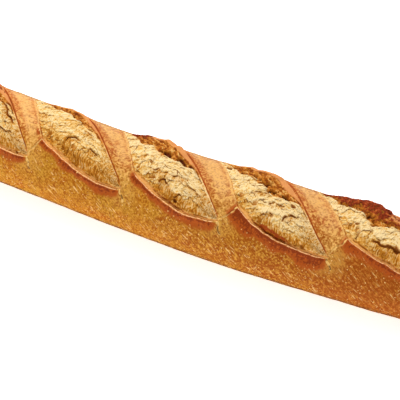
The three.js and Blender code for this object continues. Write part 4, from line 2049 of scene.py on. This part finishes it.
@dataclass
class Blisters:
    """Tiny round blisters that dot the crust's sides."""

    finish: bpy.types.Material
    per_square_metre: float = 120000.0
    smallest: float = 0.2
    largest: float = 0.55
    patch_size: float = 16.0
    rarity: float = 2.5
    flatness: float = 0.5
    seed: int = 11

    def build(self, crust: bpy.types.Object) -> bpy.types.Object:
        """Scatter the blisters over the crust.

        Args:
            crust: The finished crust.

        Returns:
            The blisters as one object.
        """
        sizes = {"Density": self.per_square_metre, "Smallest": self.smallest, "Largest": self.largest}
        tree = ReliefTree("blisters", sizes | {"Seed": self.seed})
        sheet = tree.sheet
        bare, side, scorch = tree.trait(Trait.BARE), tree.trait(Trait.SIDE), tree.trait(Trait.SCORCH)
        place = sheet.scaled(sheet.wire("GeometryNodeInputPosition"), 1 / MM)
        crowd = sheet.noise(place, self.patch_size, 2.0).ease(0.36, 0.64)
        density = tree.size("Density") * bare * side.ease(0.12, 0.32) * side.ease(0.8, 0.62)
        density = density * crowd * (1 - 0.7 * scorch)
        feeds = {"Mesh": tree.mesh, "Density": density, "Seed": tree.size("Seed")}
        scatter = sheet.node("GeometryNodeDistributePointsOnFaces", {}, feeds)
        grain = sheet.wire("GeometryNodeMeshIcoSphere", {}, {"Radius": 1.0, "Subdivisions": 1})
        feeds = {"Min": 0.0, "Max": 1.0, "Seed": tree.size("Seed")}
        draw = sheet.wire("FunctionNodeRandomValue", {"data_type": "FLOAT"}, feeds, out="Value")
        smallest = tree.size("Smallest")
        size = (smallest + (tree.size("Largest") - smallest) * draw**self.rarity) * MM
        feeds = {
            "Points": Wire(sheet, scatter.outputs["Points"]),
            "Instance": grain,
            "Rotation": Wire(sheet, scatter.outputs["Rotation"]),
            "Scale": sheet.joined(size, size, size * self.flatness),
        }
        dots = sheet.wire("GeometryNodeInstanceOnPoints", {}, feeds)
        tree.mesh = sheet.wire("GeometryNodeSetShadeSmooth", {}, {"Geometry": dots})
        made = stand("blisters", crust.data.copy())
        made.data.materials.clear()
        return tree.apply(made, self.finish)


# ---------------- studio


@dataclass(frozen=True)
class Lamp:
    """One square soft light that looks at the loaf; place and size in metres, power in watts."""

    name: str
    place: tuple[float, float, float]
    size: float
    power: float


@dataclass
class Studio:
    """A pale table, soft lights and the camera."""

    form: LoafForm
    azimuth: float = 26.63
    elevation: float = 42.0
    distance: float = 1.05
    lens: float = 150.1
    aim_x: float = 14.0
    rise_px: float = 2.3
    frame_px: float = 400.0
    table: float = 3.0
    table_colour: Colour = (0.9, 0.9, 0.9)
    table_glow: float = 0.7
    sky: float = 0.4
    lamps: tuple[Lamp, ...] = (
        Lamp("key", (-0.45, 0.55, 1.2), 0.7, 15.5),
        Lamp("fill", (0.2, -1.5, 0.8), 1.4, 6.0),
    )

    def build(self) -> None:
        """Make the camera, the lights and the table."""
        self._camera()
        for lamp in self.lamps:
            self._hang(lamp)
        world = bpy.data.worlds.new("studio")
        bpy.context.scene.world = world
        world.use_nodes = True
        background = world.node_tree.nodes["Background"]
        background.inputs["Color"].default_value = (1.0, 1.0, 1.0, 1.0)
        background.inputs["Strength"].default_value = self.sky
        self._table()
        bpy.context.scene.view_settings.view_transform = "Standard"

    def _aim(self) -> Vector:
        """The point that the camera looks at."""
        middle = float(self.form.centre_line(np.array(self.aim_x)))
        return Vector((self.aim_x, middle, self.form.height / 2)) * MM

    def _camera(self) -> None:
        """Look down on the loaf from its near side."""
        turn, tilt = math.radians(self.azimuth), math.radians(self.elevation)
        back = Vector((math.sin(turn) * math.cos(tilt), -math.cos(turn) * math.cos(tilt), math.sin(tilt)))
        lens = bpy.data.cameras.new("camera")
        lens.lens = self.lens
        lens.shift_y = self.rise_px / self.frame_px
        made = bpy.data.objects.new("camera", lens)
        made.location = self._aim() + back * self.distance
        made.rotation_euler = back.to_track_quat("Z", "Y").to_euler()
        bpy.context.scene.collection.objects.link(made)
        bpy.context.scene.camera = made

    def _hang(self, lamp: Lamp) -> None:
        """Hang a soft light that looks at the loaf.

        Args:
            lamp: The light.
        """
        light = bpy.data.lights.new(lamp.name, "AREA")
        light.size = lamp.size
        light.energy = lamp.power
        made = bpy.data.objects.new(lamp.name, light)
        made.location = lamp.place
        made.rotation_euler = (self._aim() - made.location).to_track_quat("-Z", "Y").to_euler()
        bpy.context.scene.collection.objects.link(made)

    def _table(self) -> None:
        """Lay the pale table top under the loaf."""
        half = self.table / 2 / MM
        corners = np.array([(-half, -half, 0), (half, -half, 0), (half, half, 0), (-half, half, 0)])
        mesh = write_mesh("table", corners, [[0, 1, 2, 3]])
        made = bpy.data.materials.new("table")
        made.use_nodes = True
        shader = made.node_tree.nodes["Principled BSDF"]
        shader.inputs["Base Color"].default_value = (*self.table_colour, 1.0)
        shader.inputs["Roughness"].default_value = 0.9
        shader.inputs["Emission Color"].default_value = (1.0, 1.0, 1.0, 1.0)
        shader.inputs["Emission Strength"].default_value = self.table_glow
        mesh.materials.append(made)
        stand("table", mesh)


# ---------------- the baguette


SLASHES = (
    Slash(x=-212, across=5.0, turn=29, long=92, wide=35, ear=3.2, dome=2.4, strip=11.0, char=0.5,
          char_at=-0.6, char_spread=0.3, groove=1.2, scorch=0.8, knot=0.4, seed=1,
          tears=(Tear((-0.12, 11.0), (0.05, -2.0), 3.0, 0.9), Tear((0.3, 5.0), (0.42, -2.5), 2.0, 0.8),
                 Tear((-0.2, -7.0), (-0.42, -5.0), 0.6, 1.2, 1.3),
                 Tear((0.04, -9.6), (-0.12, -8.2), 0.3, 1.1, 1.1)),
          cavities=(Cavity(-0.2, 12.0, 5.0, 3.5, 1.2, 0.9),)),
    Slash(x=-140.5, across=5.9, turn=28, long=98, wide=38, ear=4.4, dome=2.6, strip=14.0, char=0.6,
          char_at=-0.5, char_spread=0.4, groove=1.0, scorch=0.9, knot=0.5, seed=2,
          tears=(Tear((0.1, -10.5), (0.52, -6.0), -0.5, 1.0, 1.3),
                 Tear((-0.15, 10.0), (0.1, 0.0), 3.0, 0.9), Tear((0.35, 6.5), (0.55, 0.5), 1.5, 0.8),
                 Tear((0.5, 2.0), (0.62, -1.5), 1.0, 0.6),
                 Tear((-0.26, -3.6), (-0.5, -1.6), 0.6, 1.3, 1.4),
                 Tear((-0.02, -7.4), (-0.2, -4.6), 0.4, 1.2, 1.2)),
          cavities=(Cavity(0.78, 8.0, 4.5, 2.4, 1.4), Cavity(0.84, 4.4, 3.0, 2.0, 0.8, 0.7))),
    Slash(x=-72, across=5.6, turn=27, long=99, wide=37, ear=2.6, dome=3.0, strip=9.5, golden=19.0,
          pale=0.33, link=0.4, flare=1.8, back=3.0, bulge=-1.4, bulge_at=0.2, bulge_spread=0.5, char=0.2,
          char_at=-0.7, char_spread=0.3, groove=0.6, scorch=0.95, knot=1.0, seed=3,
          tears=(Tear((0.03, 12.5), (0.13, 0.0), 5.0, 1.0, 0.6),
                 Tear((0.09, 10.0), (0.11, 4.5), 1.5, 0.5, 0.4),
                 Tear((0.29, 4.5), (0.46, -2.2), 3.5, 1.0, 0.6),
                 Tear((0.03, -5.0), (0.2, -9.0), 0.8, 0.6, 0.4),
                 Tear((-0.6, 9.0), (-0.57, 4.0), 0.5, 0.6, 0.4),
                 Tear((-0.5, -5.5), (-0.62, -2.5), 0.3, 0.9, 0.8),
                 Tear((-0.32, -9.0), (-0.46, -7.2), 0.3, 1.0, 0.9),
                 Tear((-0.1, -9.8), (-0.24, -9.2), 0.3, 0.9, 0.8),
                 Tear((0.1, -12.2), (0.0, -10.8), 0.3, 0.9, 0.8)),
          cavities=(Cavity(-0.28, 11.2, 4.6, 3.4, 1.0, 0.5), Cavity(-0.19, 13.4, 3.2, 2.2, 0.8, 0.4),
                    Cavity(-0.33, 8.6, 3.0, 2.4, 0.7, 0.3))),
    Slash(x=-3, across=5.9, turn=28, long=97, wide=38, ear=5.0, dome=2.6, strip=15.5, pale=0.47,
          flare=5.0, back=6.0, bulge=1.1, bulge_at=0.62, bulge_spread=0.22, char=1.1, char_at=-0.82,
          char_spread=0.13, groove=1.6, scorch=0.95, knot=0.45, seed=4,
          tears=(Tear((-0.2, 9.5), (0.14, 2.0), 0.5, 0.8), Tear((0.12, 3.5), (0.34, -2.5), 1.5, 0.9),
                 Tear((0.32, -1.0), (0.62, -2.2), -0.5, 0.6, 0.4),
                 Tear((-0.44, 10.5), (-0.34, 5.0), 1.0, 0.7),
                 Tear((0.02, 10.4), (0.17, 7.0), 1.6, 1.0, 1.0),
                 Tear((0.33, 10.5), (0.45, 4.5), 1.0, 1.1, 0.6),
                 Tear((-0.1, -5.8), (-0.34, -3.2), 0.8, 1.5, 1.7),
                 Tear((0.08, -9.6), (-0.1, -6.6), 0.6, 1.5, 1.9),
                 Tear((0.2, -11.0), (0.12, -9.4), 0.2, 1.0, 1.2),
                 Tear((-0.44, -3.6), (-0.54, -3.2), 0.2, 0.8, 0.8)),
          cavities=(Cavity(0.11, 10.6, 8.0, 6.0, 1.5, 0.0), Cavity(0.385, 11.0, 4.0, 2.8, 1.6),
                    Cavity(-0.25, -5.6, 9.0, 4.2, 2.2), Cavity(-0.03, -9.2, 7.5, 4.4, 2.2),
                    Cavity(0.13, -11.0, 4.5, 2.8, 1.4))),
    Slash(x=69, across=6.0, turn=28, long=97, wide=38, ear=3.6, dome=2.8, strip=16.5, pale=0.49,
          hollow_side=1.1, back=10.0, bulge=1.5, bulge_at=0.1, bulge_spread=0.4, char=0.25, char_at=-0.5,
          char_spread=0.3, groove=3.0, scorch=1.45, knot=0.3, seed=5,
          tears=(Tear((-0.3, 8.5), (-0.12, 0.5), 1.0, 0.7), Tear((-0.02, 6.0), (0.02, 1.5), 1.0, 0.7),
                 Tear((0.02, 2.0), (0.2, -0.5), 0.5, 0.6),
                 Tear((0.27, 6.5), (0.36, -2.0), 3.0, 1.1, 0.9),
                 Tear((0.0, 13.5), (0.14, 6.5), 1.5, 0.9),
                 Tear((-0.44, 0.3), (-0.64, 0.4), 0.6, 1.4, 1.6),
                 Tear((-0.26, -1.8), (-0.36, -1.0), 0.3, 1.1, 1.3),
                 Tear((-0.08, -3.4), (-0.2, -1.8), 0.4, 1.3, 1.4),
                 Tear((0.08, -6.0), (-0.02, -4.4), 0.3, 1.0, 1.1),
                 Tear((-0.8, 2.6), (-0.9, 3.4), 0.2, 0.8, 0.8)),
          cavities=(Cavity(0.2, -5.0, 4.0, 2.8, 1.2, 0.9), Cavity(0.66, 7.4, 4.0, 3.0, 0.8, 0.6),
                    Cavity(-0.8, 2.6, 4.2, 2.4, 1.4), Cavity(-0.62, -0.8, 3.0, 2.2, 1.2),
                    Cavity(-0.5, -0.4, 6.0, 3.2, 1.8), Cavity(-0.3, -2.0, 4.0, 2.4, 1.4),
                    Cavity(-0.15, -3.0, 5.4, 2.6, 1.6), Cavity(0.0, -5.4, 4.4, 2.8, 1.6))),
    Slash(x=138, across=3.6, turn=25, long=97, wide=37, ear=5.0, dome=2.6, strip=17.5, pale=0.46,
          back=11.0, bulge=-1.4, bulge_at=0.3, bulge_spread=0.3, char=1.25, char_at=-0.58,
          char_spread=0.55, groove=1.4, scorch=1.2, knot=0.3, seed=6,
          tears=(Tear((-0.05, 9.5), (0.36, 3.0), 0.5, 1.1, 1.3),
                 Tear((-0.42, 12.0), (-0.3, 7.0), 0.5, 0.8, 0.9),
                 Tear((-0.18, 5.0), (-0.12, 0.0), 2.0, 0.7),
                 Tear((-0.46, 0.6), (-0.68, 3.2), 0.6, 1.5, 1.2),
                 Tear((-0.24, -1.6), (-0.44, 0.4), 0.5, 1.4, 1.2),
                 Tear((0.06, -7.6), (-0.2, -2.4), 0.8, 1.5, 1.5)),
          cavities=(Cavity(0.28, 4.6, 6.0, 4.0, 1.2, 0.9),)),
    Slash(x=208, across=4.4, turn=28, long=90, wide=35, ear=3.4, dome=2.4, strip=13.0, char=0.5,
          char_at=-0.5, char_spread=0.35, groove=1.4, scorch=0.9, knot=0.4, seed=7,
          tears=(Tear((-0.1, 10.5), (0.08, -1.5), 3.0, 0.9),
                 Tear((0.3, 6.0), (0.46, -1.5), 2.0, 0.9, 0.7),
                 Tear((-0.3, -3.4), (-0.52, -1.8), 0.6, 1.3, 1.5),
                 Tear((0.0, -7.6), (-0.18, -5.0), 0.4, 1.2, 1.3)),
          cavities=(Cavity(-0.15, 12.0, 4.5, 3.5, 1.2, 0.8),)),
)


def seat(piece: bpy.types.Object) -> None:
    """Ride a piece on the loaf's body, in the place of its solid.

    Args:
        piece: The finished piece.
    """
    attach(piece, BODY)
    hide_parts(NODE)
    triangles = sum(len(face.vertices) - 2 for face in piece.data.polygons)
    log.info("%s: %d triangles", piece.name, triangles)


def main() -> None:
    """Load the frame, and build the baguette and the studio."""
    logging.basicConfig(level=logging.INFO, format="%(name)s %(message)s")
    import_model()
    form = SlashedForm(loaf=LoafForm(), slashes=SLASHES)
    Studio(form.loaf).build()
    crust = CrustSkin(form, CrustFinish().material()).build()
    seat(crust)
    crumb_finish = CrumbFinish().material()
    for slash in form.slashes:
        seat(TornCrumb(form, slash, crumb_finish).build())
    seat(Blisters(BlisterFinish().material()).build(crust))


if __name__ == "__main__":
    main()
